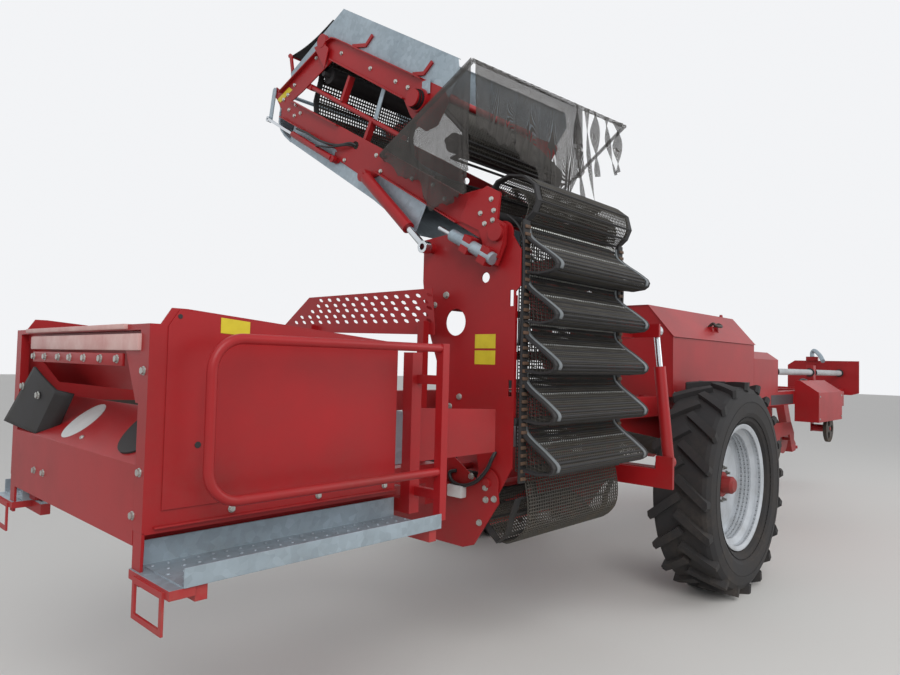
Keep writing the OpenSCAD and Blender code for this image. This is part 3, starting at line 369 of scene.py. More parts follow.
@dataclass
class Studio:
    """Camera, floor and lamps.

    Args:
        position: Camera's place, in metres.
        yaw: Camera's heading from forward to the left, in degrees.
        pitch: Camera's tilt upwards, in degrees.
        roll: Camera's roll, in degrees.
        lens: Focal length for a 36 mm sensor.
    """

    position: Point = (-6.463, -3.438, 1.796)
    yaw: float = 43.219
    pitch: float = 2.189
    roll: float = 1.417
    lens: float = 26.764

    def build(self) -> None:
        """Builds the camera, the world, the lamps and the floor."""
        self.camera()
        self.light()
        self.floor()

    def camera(self) -> None:
        """Sets the camera at the photograph's viewing angle."""
        yaw, pitch, roll = (math.radians(v) for v in (self.yaw, self.pitch, self.roll))
        ahead = Vector((math.cos(yaw) * math.cos(pitch), math.sin(yaw) * math.cos(pitch), math.sin(pitch)))
        right = Vector((math.sin(yaw), -math.cos(yaw), 0.0))
        upward = right.cross(ahead)
        side = right * math.cos(roll) + upward * math.sin(roll)
        top = upward * math.cos(roll) - right * math.sin(roll)
        data = bpy.data.cameras.new("view")
        data.lens = self.lens
        data.sensor_width = 36.0
        data.clip_end = 200.0
        camera = bpy.data.objects.new("view", data)
        turn = Matrix((side, top, -ahead)).transposed().to_4x4()
        camera.matrix_world = Matrix.Translation(self.position) @ turn
        link(camera)
        bpy.context.scene.camera = camera

    def light(self) -> None:
        """Sets a pale sky and two wide soft lamps."""
        scene = bpy.context.scene
        scene.view_settings.view_transform = "Standard"
        world = bpy.data.worlds.new("sky")
        world.use_nodes = True
        scene.world = world
        tree = world.node_tree
        tree.nodes.clear()
        seen = node(tree, "LightPath")
        either = node(tree, "Math", {0: seen.outputs["Is Camera Ray"], 1: seen.outputs["Is Glossy Ray"]},
                      operation="MAXIMUM")
        any_ray = node(tree, "Math", {0: either.outputs[0], 1: seen.outputs["Is Transmission Ray"]},
                       operation="MAXIMUM")
        glow = node(tree, "Background", {}, {"Color": (0.93, 0.95, 1.0, 1.0), "Strength": 0.57})
        plain = node(tree, "Background", {}, {"Color": (0.94, 0.95, 0.97, 1.0), "Strength": 0.95})
        both = node(tree, "MixShader", {0: any_ray.outputs[0], 1: glow.outputs[0], 2: plain.outputs[0]})
        node(tree, "OutputWorld", {"Surface": both.outputs[0]})
        lamps = (("key", (-9.0, -7.5, 8.0), 560.0, 6.0), ("fill", (5.0, -9.0, 6.0), 280.0, 7.0))
        for name, place, power, size in lamps:
            data = bpy.data.lights.new(name, "AREA")
            data.energy = power
            data.size = size
            lamp = bpy.data.objects.new(name, data)
            lamp.location = place
            lamp.rotation_mode = "QUATERNION"
            lamp.rotation_quaternion = (Vector((-1.5, 0, 1.5)) - Vector(place)).to_track_quat("-Z", "Y")
            link(lamp)

    def floor(self) -> None:
        """Lays a plain pale floor under the wheels."""
        grid = bmesh.new()
        bmesh.ops.create_grid(grid, x_segments=1, y_segments=1, size=60.0)
        mesh = bpy.data.meshes.new("floor")
        grid.to_mesh(mesh)
        grid.free()
        obj = bpy.data.objects.new("floor", mesh)
        link(obj)
        made = bpy.data.materials.new("pale floor")
        made.use_nodes = True
        made.node_tree.nodes["Principled BSDF"].inputs["Base Color"].default_value = linear("#dcdad5")
        made.node_tree.nodes["Principled BSDF"].inputs["Roughness"].default_value = 0.9
        mesh.materials.append(made)


def at(x: float, y: float, z: float) -> Vector:
    """Returns a point from millimetres measured from the axle's middle, on the ground."""
    return Vector((x * MM + AXLE_X, y * MM, z * MM))


def boom_at(x: float, s: float, h: float) -> Vector:
    """Returns a point from millimetres across, along and square to the boom."""
    c, k = math.cos(BOOM_TILT), math.sin(BOOM_TILT)
    return TOP_PIVOT + Vector((x, s * c - h * k, s * k + h * c)) * MM


def slope_at(x: float, y: float, lift: float = 0.0) -> Vector:
    """Returns a point on the chute's lower sheet, lifted square to it."""
    height = CHUTE_FOOT + (x - BOX_REAR) * CHUTE_RISE
    return at(x + CHUTE_OUT.x * lift, y, height + CHUTE_OUT.z * lift)


def boom_line(x: float, pairs: Pairs) -> List[Vector]:
    """Returns the boom's points at one x, from pairs along and square to it."""
    return [boom_at(x, s, h) for s, h in pairs]


def cross_line(x: float, pairs: Pairs) -> List[Vector]:
    """Returns the points at one x, from pairs of y and z."""
    return [at(x, y, z) for y, z in pairs]


def side_line(y: float, pairs: Pairs) -> List[Vector]:
    """Returns the points at one y, from pairs of x and z."""
    return [at(x, y, z) for x, z in pairs]


def link(obj: bpy.types.Object) -> None:
    """Puts an object into the scene."""
    bpy.context.scene.collection.objects.link(obj)


def smooth_line(points: Sequence[Vector], steps: int = 6) -> List[Vector]:
    """Draws a smooth line through points.

    Args:
        points: Points to pass through.
        steps: Points added to each stretch.

    Returns:
        The denser line.
    """
    ends = [points[0] * 2 - points[1], *points, points[-1] * 2 - points[-2]]
    line: List[Vector] = []
    for a, b, c, d in zip(ends, ends[1:], ends[2:], ends[3:]):
        for i in range(steps):
            t = i / steps
            line.append(0.5 * (2 * b + (c - a) * t + (2 * a - 5 * b + 4 * c - d) * t * t
                               + (3 * b - a - 3 * c + d) * t ** 3))
    return line + [points[-1].copy()]


def band(line: Pairs, width: float) -> List[Tuple[float, float]]:
    """Returns the outline of a flat bar of a width bent along a flat line.

    Args:
        line: Middle line of the bar.
        width: Width of the bar.

    Returns:
        The outline, one side out and the other back.
    """
    near, far = [], []
    for i, spot in enumerate(line):
        a, b = line[max(i - 1, 0)], line[min(i + 1, len(line) - 1)]
        size = math.hypot(b[0] - a[0], b[1] - a[1])
        push = ((a[1] - b[1]) / size * width / 2, (b[0] - a[0]) / size * width / 2)
        near.append((spot[0] - push[0], spot[1] - push[1]))
        far.append((spot[0] + push[0], spot[1] + push[1]))
    return near + far[::-1]


class Track:
    """A line that is read by its share of the whole length."""

    def __init__(self, points: Sequence[Vector]) -> None:
        """Measures the line through the points given.

        Args:
            points: Points of the line.
        """
        self.points = list(points)
        self.marks = [0.0]
        for a, b in zip(self.points, self.points[1:]):
            self.marks.append(self.marks[-1] + (b - a).length)

    @property
    def length(self) -> float:
        """Length of the line."""
        return self.marks[-1]

    def read(self, share: float) -> Vector:
        """Returns the point at a share of the length.

        Args:
            share: Share from 0 to 1.

        Returns:
            The point.
        """
        goal = min(max(share, 0.0), 1.0) * self.length
        for i in range(1, len(self.marks)):
            if self.marks[i] >= goal:
                part = (goal - self.marks[i - 1]) / max(self.marks[i] - self.marks[i - 1], 1e-9)
                return self.points[i - 1].lerp(self.points[i], part)
        return self.points[-1].copy()


class Shape:
    """A piece under construction, made with mesh operators, in metres."""

    def __init__(self, name: str, finish: str, body: str) -> None:
        """Starts an empty mesh for a named piece that rides on a body."""
        self.name, self.finish, self.body = name, finish, body
        self.mesh = bmesh.new()

    def slab(self, low: Vector, high: Vector, edge: float = 0.0) -> None:
        """Adds a block between two corners, its edges rounded by edge metres.

        Args:
            low: First corner.
            high: Opposite corner.
            edge: Radius of its edges, in metres.
        """
        size = high - low
        place = Matrix.Translation((low + high) / 2) @ Matrix.Diagonal((abs(size.x), abs(size.y),
                                                                        abs(size.z), 1.0))
        made = bmesh.ops.create_cube(self.mesh, size=1.0, matrix=place)
        if edge:
            self.round(made["verts"], edge)

    def round(self, verts: Iterable[bmesh.types.BMVert], edge: float) -> None:
        """Rounds every edge at the vertices given.

        Args:
            verts: Vertices whose edges are rounded.
            edge: Radius, in metres.
        """
        edges = list({e for v in verts for e in v.link_edges})
        bmesh.ops.bevel(self.mesh, geom=edges, offset=edge, offset_type="OFFSET", segments=2, profile=0.5,
                        affect="EDGES", material=-1, clamp_overlap=True)

    def rod(self, start: Vector, end: Vector, radius: float, sides: int = 14,
            tip: Optional[float] = None) -> None:
        """Adds a round bar, or a cone where tip is another radius.

        Args:
            start: Middle of one end.
            end: Middle of the other end.
            radius: Its radius, in metres.
            sides: Number of its sides.
            tip: Radius at the other end, where it differs.
        """
        turn = (end - start).to_track_quat("Z", "Y").to_matrix().to_4x4()
        bmesh.ops.create_cone(self.mesh, cap_ends=True, segments=sides, radius1=radius,
                              radius2=radius if tip is None else tip, depth=(end - start).length,
                              matrix=Matrix.Translation((start + end) / 2) @ turn)

    def bolt(self, place: Vector, out: Vector, width: float) -> None:
        """Adds a hexagon bolt with its washer, standing out along out."""
        self.rod(place - out * 0.001, place + out * 0.003, width * 0.62, 16)
        self.rod(place + out * 0.003, place + out * width * 0.45, width * 0.5, 6)

    def panel(self, outline: Sequence[Vector], push: Vector) -> None:
        """Adds a flat plate from its outline and thickness.

        Args:
            outline: Its corners in order.
            push: Its thickness as a vector.
        """
        face = self.mesh.faces.new([self.mesh.verts.new(p) for p in outline])
        made = bmesh.ops.extrude_face_region(self.mesh, geom=[face])
        bmesh.ops.translate(self.mesh, vec=push,
                            verts=[g for g in made["geom"] if isinstance(g, bmesh.types.BMVert)])

    def net(self, columns: int, rows: int, place: Callable[[float, float], Vector]) -> float:
        """Adds a grid laid out by a function of two shares.

        Args:
            columns: Cells across.
            rows: Cells along.
            place: Gives the point for two shares from 0 to 1.

        Returns:
            The grid's area.
        """
        made = bmesh.ops.create_grid(self.mesh, x_segments=columns, y_segments=rows, size=0.5)
        for vert in made["verts"]:
            vert.co = place(vert.co.x + 0.5, vert.co.y + 0.5)
        faces = {f for v in made["verts"] for f in v.link_faces}
        return sum(f.calc_area() for f in faces)

    def ring(self, middle: Vector, axis: Vector, radius: float, thick: float, steps: int = 48) -> None:
        """Adds a round ring about an axis by spinning a small circle.

        Args:
            middle: Middle of the ring.
            axis: Its axis.
            radius: Radius of its centre line, in metres.
            thick: Radius of its bar.
            steps: Number of its segments.
        """
        side = axis.orthogonal().normalized()
        turn = Matrix((axis, side, axis.cross(side))).transposed().to_4x4()
        upright = Matrix.Rotation(math.pi / 2, 4, "X") @ Matrix.Rotation(math.pi / 2, 4, "Z")
        made = bmesh.ops.create_circle(self.mesh, segments=8, radius=thick,
                                       matrix=Matrix.Translation(middle + side * radius) @ turn @ upright)
        edges = {e for v in made["verts"] for e in v.link_edges}
        bmesh.ops.spin(self.mesh, geom=list(made["verts"]) + list(edges), cent=middle, axis=axis,
                       angle=math.tau, steps=steps, use_merge=True)

    def done(self, slot: Optional[str] = None, closed: bool = True) -> bpy.types.Object:
        """Turns the mesh into a piece that rides on its body.

        Args:
            slot: Slot of the record; not used.
            closed: Whether the faces are turned outwards.

        Returns:
            The new piece.
        """
        if closed:
            bmesh.ops.recalc_face_normals(self.mesh, faces=self.mesh.faces)
        mesh = bpy.data.meshes.new(self.name)
        self.mesh.to_mesh(mesh)
        self.mesh.free()
        mesh.shade_smooth()
        mesh.set_sharp_from_angle(angle=SHARP)
        mesh.materials.append(PALETTE.get(self.finish))
        obj = bpy.data.objects.new(self.name, mesh)
        link(obj)
        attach(obj, self.body)
        if slot or self.finish in RECORD_SLOTS:
            slot or self.finish
        LOG.info("piece %s on %s, %d faces", self.name, self.body, len(mesh.polygons))
        return obj

    def sheet(self, thick: float) -> bpy.types.Object:
        """Turns an open surface into a sheet of a thickness in metres.

        Args:
            thick: Thickness.

        Returns:
            The new piece.
        """
        piece = self.done(closed=False)
        add_modifier(piece, "SOLIDIFY", thickness=thick, offset=0.0)
        return piece

    def wires(self, thick: float) -> bpy.types.Object:
        """Turns a grid into coated wires of a thickness in metres.

        Args:
            thick: Thickness.

        Returns:
            The new piece.
        """
        piece = self.done("black_rubber", closed=False)
        add_modifier(piece, "WIREFRAME", thickness=thick, use_replace=True, use_even_offset=False)
        return piece


def add_modifier(obj: bpy.types.Object, kind: str, **settings: Any) -> None:
    """Adds a modifier with its settings to a piece.

    Args:
        obj: The piece.
        kind: Kind of modifier.
        settings: Attributes set on it.
    """
    made = obj.modifiers.new(kind.lower(), kind)
    for key, value in settings.items():
        setattr(made, key, value)


def plate(name: str, finish: str, body: str, outline: Sequence[Vector], push: Vector) -> None:
    """Adds a flat plate as a piece of its own.

    Args:
        name: Name of the piece.
        finish: Finish that it gets.
        body: Body that it rides on.
        outline: Corners in order.
        push: Thickness as a vector.
    """
    shape = Shape(name, finish, body)
    shape.panel(outline, push)
    shape.done()


def block(name: str, finish: str, body: str, corners: Tuple[Vector, Vector], edge: float = 0.0) -> None:
    """Adds a block between two corners as a piece of its own.

    Args:
        name: Name of the piece.
        finish: Finish that it gets.
        body: Body that it rides on.
        corners: Two opposite corners.
        edge: Radius of its edges, in metres.
    """
    shape = Shape(name, finish, body)
    shape.slab(*corners, edge)
    shape.done()


def bar(name: str, finish: str, body: str, ends: Tuple[Vector, Vector], radius: float, sides: int) -> None:
    """Adds a round bar as a piece of its own.

    Args:
        name: Name of the piece.
        finish: Finish that it gets.
        body: Body that it rides on.
        ends: Middles of its ends.
        radius: Its radius, in metres.
        sides: Number of its sides.
    """
    shape = Shape(name, finish, body)
    shape.rod(*ends, radius, sides)
    shape.done()


def bolt_set(name: str, body: str, rows: Iterable[Tuple[Vector, Vector, float]]) -> None:
    """Sets bolts as one piece, from rows of place, direction and width.

    Args:
        name: Name of the piece.
        body: Body that it rides on.
        rows: Place, direction and width of each bolt.
    """
    shape = Shape(name, "zinc_bolt", body)
    for place, out, width in rows:
        shape.bolt(place, out, width)
    shape.done()


def tube(name: str, points: Sequence[Vector], radius: float, finish: str, body: str) -> bpy.types.Object:
    """Adds a bent tube, bar or hose as a curve.

    Args:
        name: Name of the piece.
        points: Line that it follows.
        radius: Its radius.
        finish: Finish that it gets.
        body: Body that it rides on.

    Returns:
        The new piece.
    """
    data = bpy.data.curves.new(name, "CURVE")
    data.dimensions = "3D"
    data.bevel_depth = radius
    data.bevel_resolution = 3
    data.use_fill_caps = True
    spline = data.splines.new("POLY")
    spline.points.add(len(points) - 1)
    for spot, place in zip(spline.points, points):
        spot.co = (*place, 1.0)
    spline.use_smooth = True
    data.materials.append(PALETTE.get(finish))
    obj = bpy.data.objects.new(name, data)
    link(obj)
    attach(obj, body)
    LOG.info("piece %s on %s, a curve of %d points", name, body, len(points))
    return obj


def hose(name: str, points: Sequence[Vector], diameter: float, body: str) -> None:
    """Adds a hose as a smooth tube through the points given.

    Args:
        name: Name of the piece.
        points: Points that it passes.
        diameter: Its diameter, in metres.
        body: Body that it rides on.
    """
    line = smooth_line(points, 8)
    piece = tube(name, line, diameter / 2, "hose_rubber", body)
    tuple(line[0])
    round(Track(line).length, 3)


@dataclass
class PocketWeb:
    """Wire mesh, straps, rivets and side belts of the climbing web.

    Args:
        half: Half the width between the side belts, in millimetres.
        pitch: Spacing of the pockets.
        depth: Depth of a pocket.
        foot: Height of the lowest pocket.
        belt: Where the belts run, from the middle of the machine.
        out: A pocket's floor, in shares of its depth and of the pitch.
        back: A pocket's roof, in the same shares.
        top: The web round the mast's head, across and up.
        low: The lower web's loop, across and up.
        inside: The web's run down behind the pockets, across and up.
    """

    half: float = 484.0
    pitch: float = 272.0
    depth: float = 225.0
    foot: float = 1225.0
    belt: float = -1200.0
    out: Profile = ((0, 0), (0.5, -0.06), (0.86, -0.03), (0.97, 0.03), (1, 0.1))
    back: Profile = ((1, 0.1), (0.95, 0.18), (0.8, 0.28), (0.6, 0.4), (0.38, 0.52),
                     (0.18, 0.64), (0.04, 0.76), (0, 0.88))
    top: Profile = ((-1206, 2596), (-1262, 2640), (-1290, 2700), (-1266, 2790), (-1190, 2850),
                    (-1090, 2872), (-1000, 2850), (-940, 2780), (-925, 2700))
    low: Profile = ((120, 950), (0, 950), (-40, 800), (-220, 900), (-280, 950), (-320, 800), (-500, 900),
                    (-560, 950), (-600, 800), (-780, 900), (-840, 940), (-940, 900), (-1060, 800),
                    (-1150, 822), (-1225, 900), (-1242, 1000), (-1230, 1100), (-1208, 1188))
    inside: Profile = ((-1150, 1200), (-1150, 2480), (-1176, 2600), (-1204, 2690), (-1160, 2770),
                       (-1090, 2800), (-1030, 2760))

    def spot(self, x: float, pocket: int, point: Tuple[float, float], lift: float = 0.0) -> Vector:
        """Returns a point of a pocket's profile at x from the elevator's middle."""
        return at(ELEVATOR + x, self.belt - point[0] * self.depth - lift,
                  self.foot + (pocket + point[1]) * self.pitch)

    def build(self) -> None:
        """Builds every piece of the web."""
        self.meshes()
        self.straps()
        self.rivets()
        self.belts()

    def meshes(self) -> None:
        """Lays wire mesh over the pockets, closes their ends and lays mesh on the lower web."""
        line = [self.spot(0, k, p) for k in range(5) for p in self.out + self.back[1:]]
        line += cross_line(ELEVATOR, self.top)
        self.wire("pocket_mesh", Track(smooth_line(line, 4)), 50, 190, 0.0075, "mast")
        inside = Track(smooth_line(cross_line(ELEVATOR, self.inside), 4))
        self.wire("inner_mesh", inside, 44, 90, 0.010, "mast")
        low = Track(smooth_line(cross_line(ELEVATOR, self.low), 3))
        self.wire("base_mesh", low, 42, 120, 0.010, "frame")
        ends = Shape("pocket_ends", "web_rubber", "mast")
        for pocket in range(5):
            for x in (-self.half, self.half):
                floor = Track([self.spot(x, pocket, p) for p in self.out])
                roof = Track([self.spot(x, pocket, p) for p in reversed(self.back)])
                ends.net(9, 7, lambda u, v, a=floor, b=roof: a.read(u).lerp(b.read(u), v))
        ends.wires(0.006)

    def wire(self, name: str, track: Track, columns: int, rows: int, thick: float, body: str) -> None:
        """Lays one wire mesh along a track.

        Args:
            name: Name of the piece.
            track: Line that it follows.
            columns: Cells across.
            rows: Cells along.
            thick: Thickness of the wires, in metres.
            body: Body that it rides on.
        """
        shape = Shape(name, "web_rubber", body)
        shape.net(columns, rows, lambda u, v: track.read(v) + Vector(((u - 0.5) * 2 * self.half * MM, 0, 0)))
        shape.wires(thick)

    def straps(self) -> None:
        """Lays the bent straps that hold the pockets' ends."""
        shape = Shape("pocket_straps", "strap_grey", "mast")
        for pocket in range(5):
            for x in (-self.half + 2, self.half - 2):
                line = [self.spot(x, pocket, (0.97, 0.02), 7)]
                line += [self.spot(x, pocket, p, 9) for p in (*self.back, (0.0, 0.96))]
                track = Track(smooth_line(line, 4))
                shape.net(2, 34, lambda u, v, t=track: t.read(v) + Vector(((u - 0.5) * 0.026, 0, 0)))
        shape.sheet(0.006)

    def rivets(self) -> None:
        """Sets rows of bright rivets across the web."""
        shape = Shape("web_rivets", "zinc_bolt", "mast")
        for pocket in range(5):
            for point in ((0.0, 0.94), (0.38, 0.52)):
                for i in range(45):
                    x = -self.half + 24 + i * (2 * self.half - 48) / 44
                    spot = self.spot(x, pocket, point, 4)
                    shape.slab(spot - Vector((0.005, 0.003, 0.004)), spot + Vector((0.005, 0.003, 0.004)))
        shape.done()

    def belts(self) -> None:
        """Runs the flat side belts up the mast's edges with their worn cleats."""
        belts = Shape("side_belts", "black_rubber", "mast")
        cleats = Shape("belt_cleats", "rusty_steel", "mast")
        for side in (-1, 1):
            low, high = sorted((side * 489, side * 546))
            belts.slab(at(ELEVATOR + low, -1222, 1150), at(ELEVATOR + high, -1208, 2600), 0.003)
            for i in range(34):
                z = 1165 + i * 42
                cleats.slab(at(ELEVATOR + low + 5, -1232, z), at(ELEVATOR + high - 4, -1221, z + 19), 0.003)
        belts.done()
        cleats.done()


@dataclass
class ShadeNet:
    """Torn knitted net on its bail over the boom's foot.

    Args:
        out: How far the bail stands from the elevator's middle, in millimetres.
        bar: Radius of the bail's bar.
        corner: Near corner of the bail, along and square to the boom.
        seed: Seed of the ragged edges.
    """

    out: float = 628.0
    bar: float = 17.0
    corner: Tuple[float, float] = (584.0, 829.0)
    seed: int = 7

    def build(self) -> None:
        """Builds the side sheet, the curtain and the strips."""
        luck = random.Random(self.seed)
        self.side(luck)
        self.curtain(luck)
        self.strips(luck)

    def declare(self, shape: Shape, stands: Sequence[str]) -> None:
        """Finishes a sheet, gives it its thickness and hides the nodes that it takes the place of.

        Args:
            shape: The sheet as drawn.
            stands: Nodes that it takes the place of.
        """
        piece = shape.sheet(0.0015)
        if stands:
            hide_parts(*stands)

    def side(self, luck: random.Random) -> None:
        """Hangs the sheet outside the near arm.

        Args:
            luck: Draws of the ragged edge.
        """
        arm = Track(boom_line(-self.out - self.bar, ((1078, 92), self.corner)))
        hem = Track(boom_line(-self.out - self.bar, ((1040, 70), (900, 60), (820, 20), (700, 40), (600, 60),
                                                     (520, -20), (430, -60), (330, 20), (215, 120),
                                                     (280, 280), (362, 423))))
        rags = [luck.uniform(-0.012, 0.012) for _ in range(400)]

        def place(u: float, v: float) -> Vector:
            """Returns the sheet's point for two shares, with its folds and ragged hem.

            Args:
                u: Share across.
                v: Share down.

            Returns:
                The point.
            """
            spot = arm.read(u).lerp(hem.read(u), v)
            fold = 0.012 * math.sin(u * 21 + v * 3) * v + 0.006 * math.sin(u * 47 + v * 9) * v
            ragged = rags[int(u * 199)] * (1 if v > 0.99 else 0)
            return spot + Vector((-abs(fold) - 0.004, ragged, ragged * 1.5))

        shape = Shape("side_net", "net_black", "boom")
        area = shape.net(60, 40, place)
        self.declare(shape, ["net"])

    def curtain(self, luck: random.Random) -> None:
        """Hangs the curtain from the crossbar, its hem torn.

        Args:
            luck: Draws of the ragged edge.
        """
        left, right = boom_at(-self.out, *self.corner), boom_at(self.out * 0.42, 410, 846)
        drops = [0.40, 0.42, 0.40, 0.44, 0.41, 0.47, 0.52, 0.60, 0.55, 0.63, 0.50, 0.58, 0.42]
        rags = [luck.uniform(-0.02, 0.02) for _ in range(80)]

        def place(u: float, v: float) -> Vector:
            """Returns the curtain's point for two shares, with its torn drop.

            Args:
                u: Share across.
                v: Share down.

            Returns:
                The point.
            """
            step = u * (len(drops) - 1.001)
            drop = drops[int(step)] * (1 - step % 1) + drops[int(step) + 1] * (step % 1) + rags[int(u * 70)]
            bulge = 0.03 * math.sin(u * 26) * v + 0.014 * math.sin(u * 61 + 2 * v) * v
            return left.lerp(right, u) + Vector((0, -0.016 - bulge, -0.012 - drop * v))

        shape = Shape("net_curtain", "net_black", "boom")
        area = shape.net(70, 30, place)
        self.declare(shape, [])

    def strips(self, luck: random.Random) -> None:
        """Hangs torn strips from the far part of the crossbar.

        Args:
            luck: Draws of the twists.
        """
        shape = Shape("net_strips", "net_black", "boom")
        area = 0.0
        for share, width, drop, drift in ((0.50, 70, 0.62, 0.10), (0.60, 40, 0.70, 0.16),
                                          (0.68, 80, 0.42, 0.05), (0.80, 50, 0.36, 0.14),
                                          (0.92, 90, 0.34, 0.02)):
            root = boom_at(-self.out, *self.corner).lerp(boom_at(self.out, 279, 870), 0.28 + share * 0.7)
            turn = luck.uniform(-0.6, 0.6)

            def place(u: float, v: float, at_root: Vector = root, w: float = width * MM, d: float = drop,
                      side: float = drift, twist: float = turn) -> Vector:
                """Returns a twisted strip's point for two shares."""
                wide = (u - 0.5) * w * (1 - 0.55 * v)
                return at_root + Vector((wide * math.cos(twist + 5 * v) + side * v * v,
                                         -0.018 + wide * math.sin(twist + 5 * v), -0.01 - d * v))

            area += shape.net(2, 16, place)
        self.declare(shape, [])


@dataclass
class BoomFittings:
    """Mesh web, brackets, levers, link cylinder, curtain, seal, hoses, bolts and sticker of the boom.

    Args:
        face: Outer face of the side plates, from the elevator's middle, in millimetres.
        motor: Axis of the motor, along and square to the boom.
    """

    face: float = 586.0
    motor: Tuple[float, float] = (944.0, 494.0)

    def build(self) -> None:
        """Builds every piece of the boom's fittings."""
        self.web()
        self.steel()
        self.bolts()
        self.rubber()
        self.hoses()

    def web(self) -> None:
        """Lays the wire mesh on the boom's web."""
        line = [(516, 312), (524, 390), (553, 427), (800, 505), (1100, 550), (1400, 553), (1700, 565),
                (1980, 570), (2110, 535), (2190, 500), (2240, 420), (2200, 180), (2090, 30), (1800, -42),
                (1400, -72), (1000, -82), (750, -22), (620, 118)]
        track = Track(smooth_line(boom_line(0, line), 3))
        shape = Shape("boom_mesh", "web_rubber", "boom")
        shape.net(40, 150, lambda u, v: track.read(v) + Vector(((u - 0.5) * 0.968, 0, 0)))
        shape.wires(0.018)

    def steel(self) -> None:
        """Makes the hood's brackets, the hooked levers, the foot plates, the link cylinder and flat bars."""
        red = Shape("boom_brackets", "red_paint", "boom")
        for side in (-1, 1):
            x = side * (self.face - 8)
            for line in (((1850, 652), (1700, 690), (1664, 766)), ((1110, 625), (1010, 655), (972, 738))):
                red.panel(boom_line(x, band(line, 26)), Vector((side * 0.012, 0, 0)))
            hook = [(2546, 300), (2562, 318), (2640, 404), (2652, 398), (2668, 412), (2650, 432), (2620, 424),
                    (2536, 330)]
            red.panel(boom_line(side * (self.face - 20), hook), Vector((side * 0.014, 0, 0)))
        red.rod(boom_at(-self.face + 14, 2650, 414), boom_at(self.face - 14, 2650, 414), 0.009)
        # Foot plate of the boom, two plates one on the other with the link cylinder's clamps
        foot = [(131, 214), (23, 216), (-37, 78), (-111, 76), (-160, -23), (-172, -150), (-100, -160),
                (60, -30), (230, -40), (230, 100)]
        red.panel(boom_line(-self.face, foot), Vector((-0.012, 0, 0)))
        red.panel(boom_line(-self.face - 12, ((-60, 70), (-111, 66), (-150, -23), (-160, -110), (-60, -110),
                                              (-20, 10))), Vector((-0.012, 0, 0)))
        for s in (60, -95):
            outline = [(s - 32, -78), (s + 32, -78), (s + 32, -178), (s - 32, -178)]
            red.panel(boom_line(-self.face - 74, outline), Vector((0.07, 0, 0)))
        red.rod(boom_at(-self.face - 28, -84, 12), boom_at(-self.face - 46, -84, 12), 0.050, 28)
        red.rod(boom_at(-self.face, 2211, 606), boom_at(-self.face - 30, 2211, 606), 0.052, 28)
        red.done()
        x = -self.face - 40
        bar("link_cylinder", "galvanised", "boom", (boom_at(x, 210, -128), boom_at(x, -150, -124)), 0.036, 28)
        bar("link_rod", "rod_chrome", "boom", (boom_at(x, 330, -130), boom_at(x, 200, -128)), 0.013, 16)
        grey = Shape("boom_flat_bars", "galvanised", "boom")
        grey.panel(boom_line(-self.face + 12, ((1322, 268), (1360, 268), (1384, 470), (1344, 470))),
                   Vector((0.006, 0, 0)))
        tab = boom_at(-self.face - 10, 880, 560)
        grey.slab(tab, tab + Vector((0.006, 0.07, 0.09)))
        grey.done()

    def bolts(self) -> None:
        """Sets the near side's bolts with their twins on the far side, and lays the sticker on."""
        spots = [(1950, 580), (1560, 560), (1250, 545), (1110, 540), (2330, 100), (2230, 60), (1180, 60),
                 (760, 40), (560, 70), (420, 30), (2430, 230), (2480, 140), (2520, 90), (2400, 40),
                 (2300, 20), (1080, -20), (1500, -80), (2250, 480)]
        foot = [(60, 160), (95, 60), (10, 110), (35, 20), (-10, 60)]
        rows = [(boom_at(side * self.face, s, h), Vector((side, 0, 0)), 0.024)
                for side in (-1, 1) for s, h in spots]
        rows += [(boom_at(-self.face - 12, s, h), Vector((-1, 0, 0)), 0.024) for s, h in foot]
        bolt_set("boom_bolts", "boom", rows)
        film = boom_line(-self.face, ((2560, 55), (2620, 62), (2500, 196), (2440, 190)))
        plate("boom_sticker", "yellow_film", "boom", film, Vector((-0.0012, 0, 0)))

    def rubber(self) -> None:
        """Hangs the rubber curtain behind the hood's end and closes the motor's shaft."""
        shape = Shape("end_curtain", "black_rubber", "boom")
        corner = boom_line(0, ((2226, 776), (2652, 410)))

        def place(u: float, v: float) -> Vector:
            """Returns the sagging curtain's point for two shares."""
            spot = corner[0].lerp(corner[1], v) + Vector(((u - 0.5) * 1.13, 0, 0))
            return spot + Vector((0, 0, -0.028 * math.sin(v * math.pi) + 0.006 * math.sin(u * 31) * v))

        shape.net(24, 12, place)
        shape.sheet(0.004)
        seal = Shape("motor_seal", "hose_rubber", "boom")
        seal.ring(boom_at(-self.face - 34, *self.motor), Vector((1, 0, 0)), 0.062, 0.016, 32)
        seal.ring(boom_at(-self.face - 60, *self.motor), Vector((1, 0, 0)), 0.058, 0.008, 32)
        seal.done("black_rubber")

    def hoses(self) -> None:
        """Runs two thin hoses from the near side plate along the boom's lower edge."""
        x = -self.face
        hose("tip_hose", [boom_at(x + 4, 1437, 50), boom_at(x - 22, 1480, 46), boom_at(x - 40, 1600, -10),
                          boom_at(x - 44, 1800, -40), boom_at(x - 42, 2000, -40), boom_at(x - 34, 2160, -52)],
             0.018, "boom")
        hose("tip_hose_two", [boom_at(x + 4, 1450, 40), boom_at(x - 30, 1500, 24), boom_at(x - 54, 1640, -40),
                              boom_at(x - 56, 1760, -70), boom_at(x - 40, 1840, -92)], 0.014, "boom")


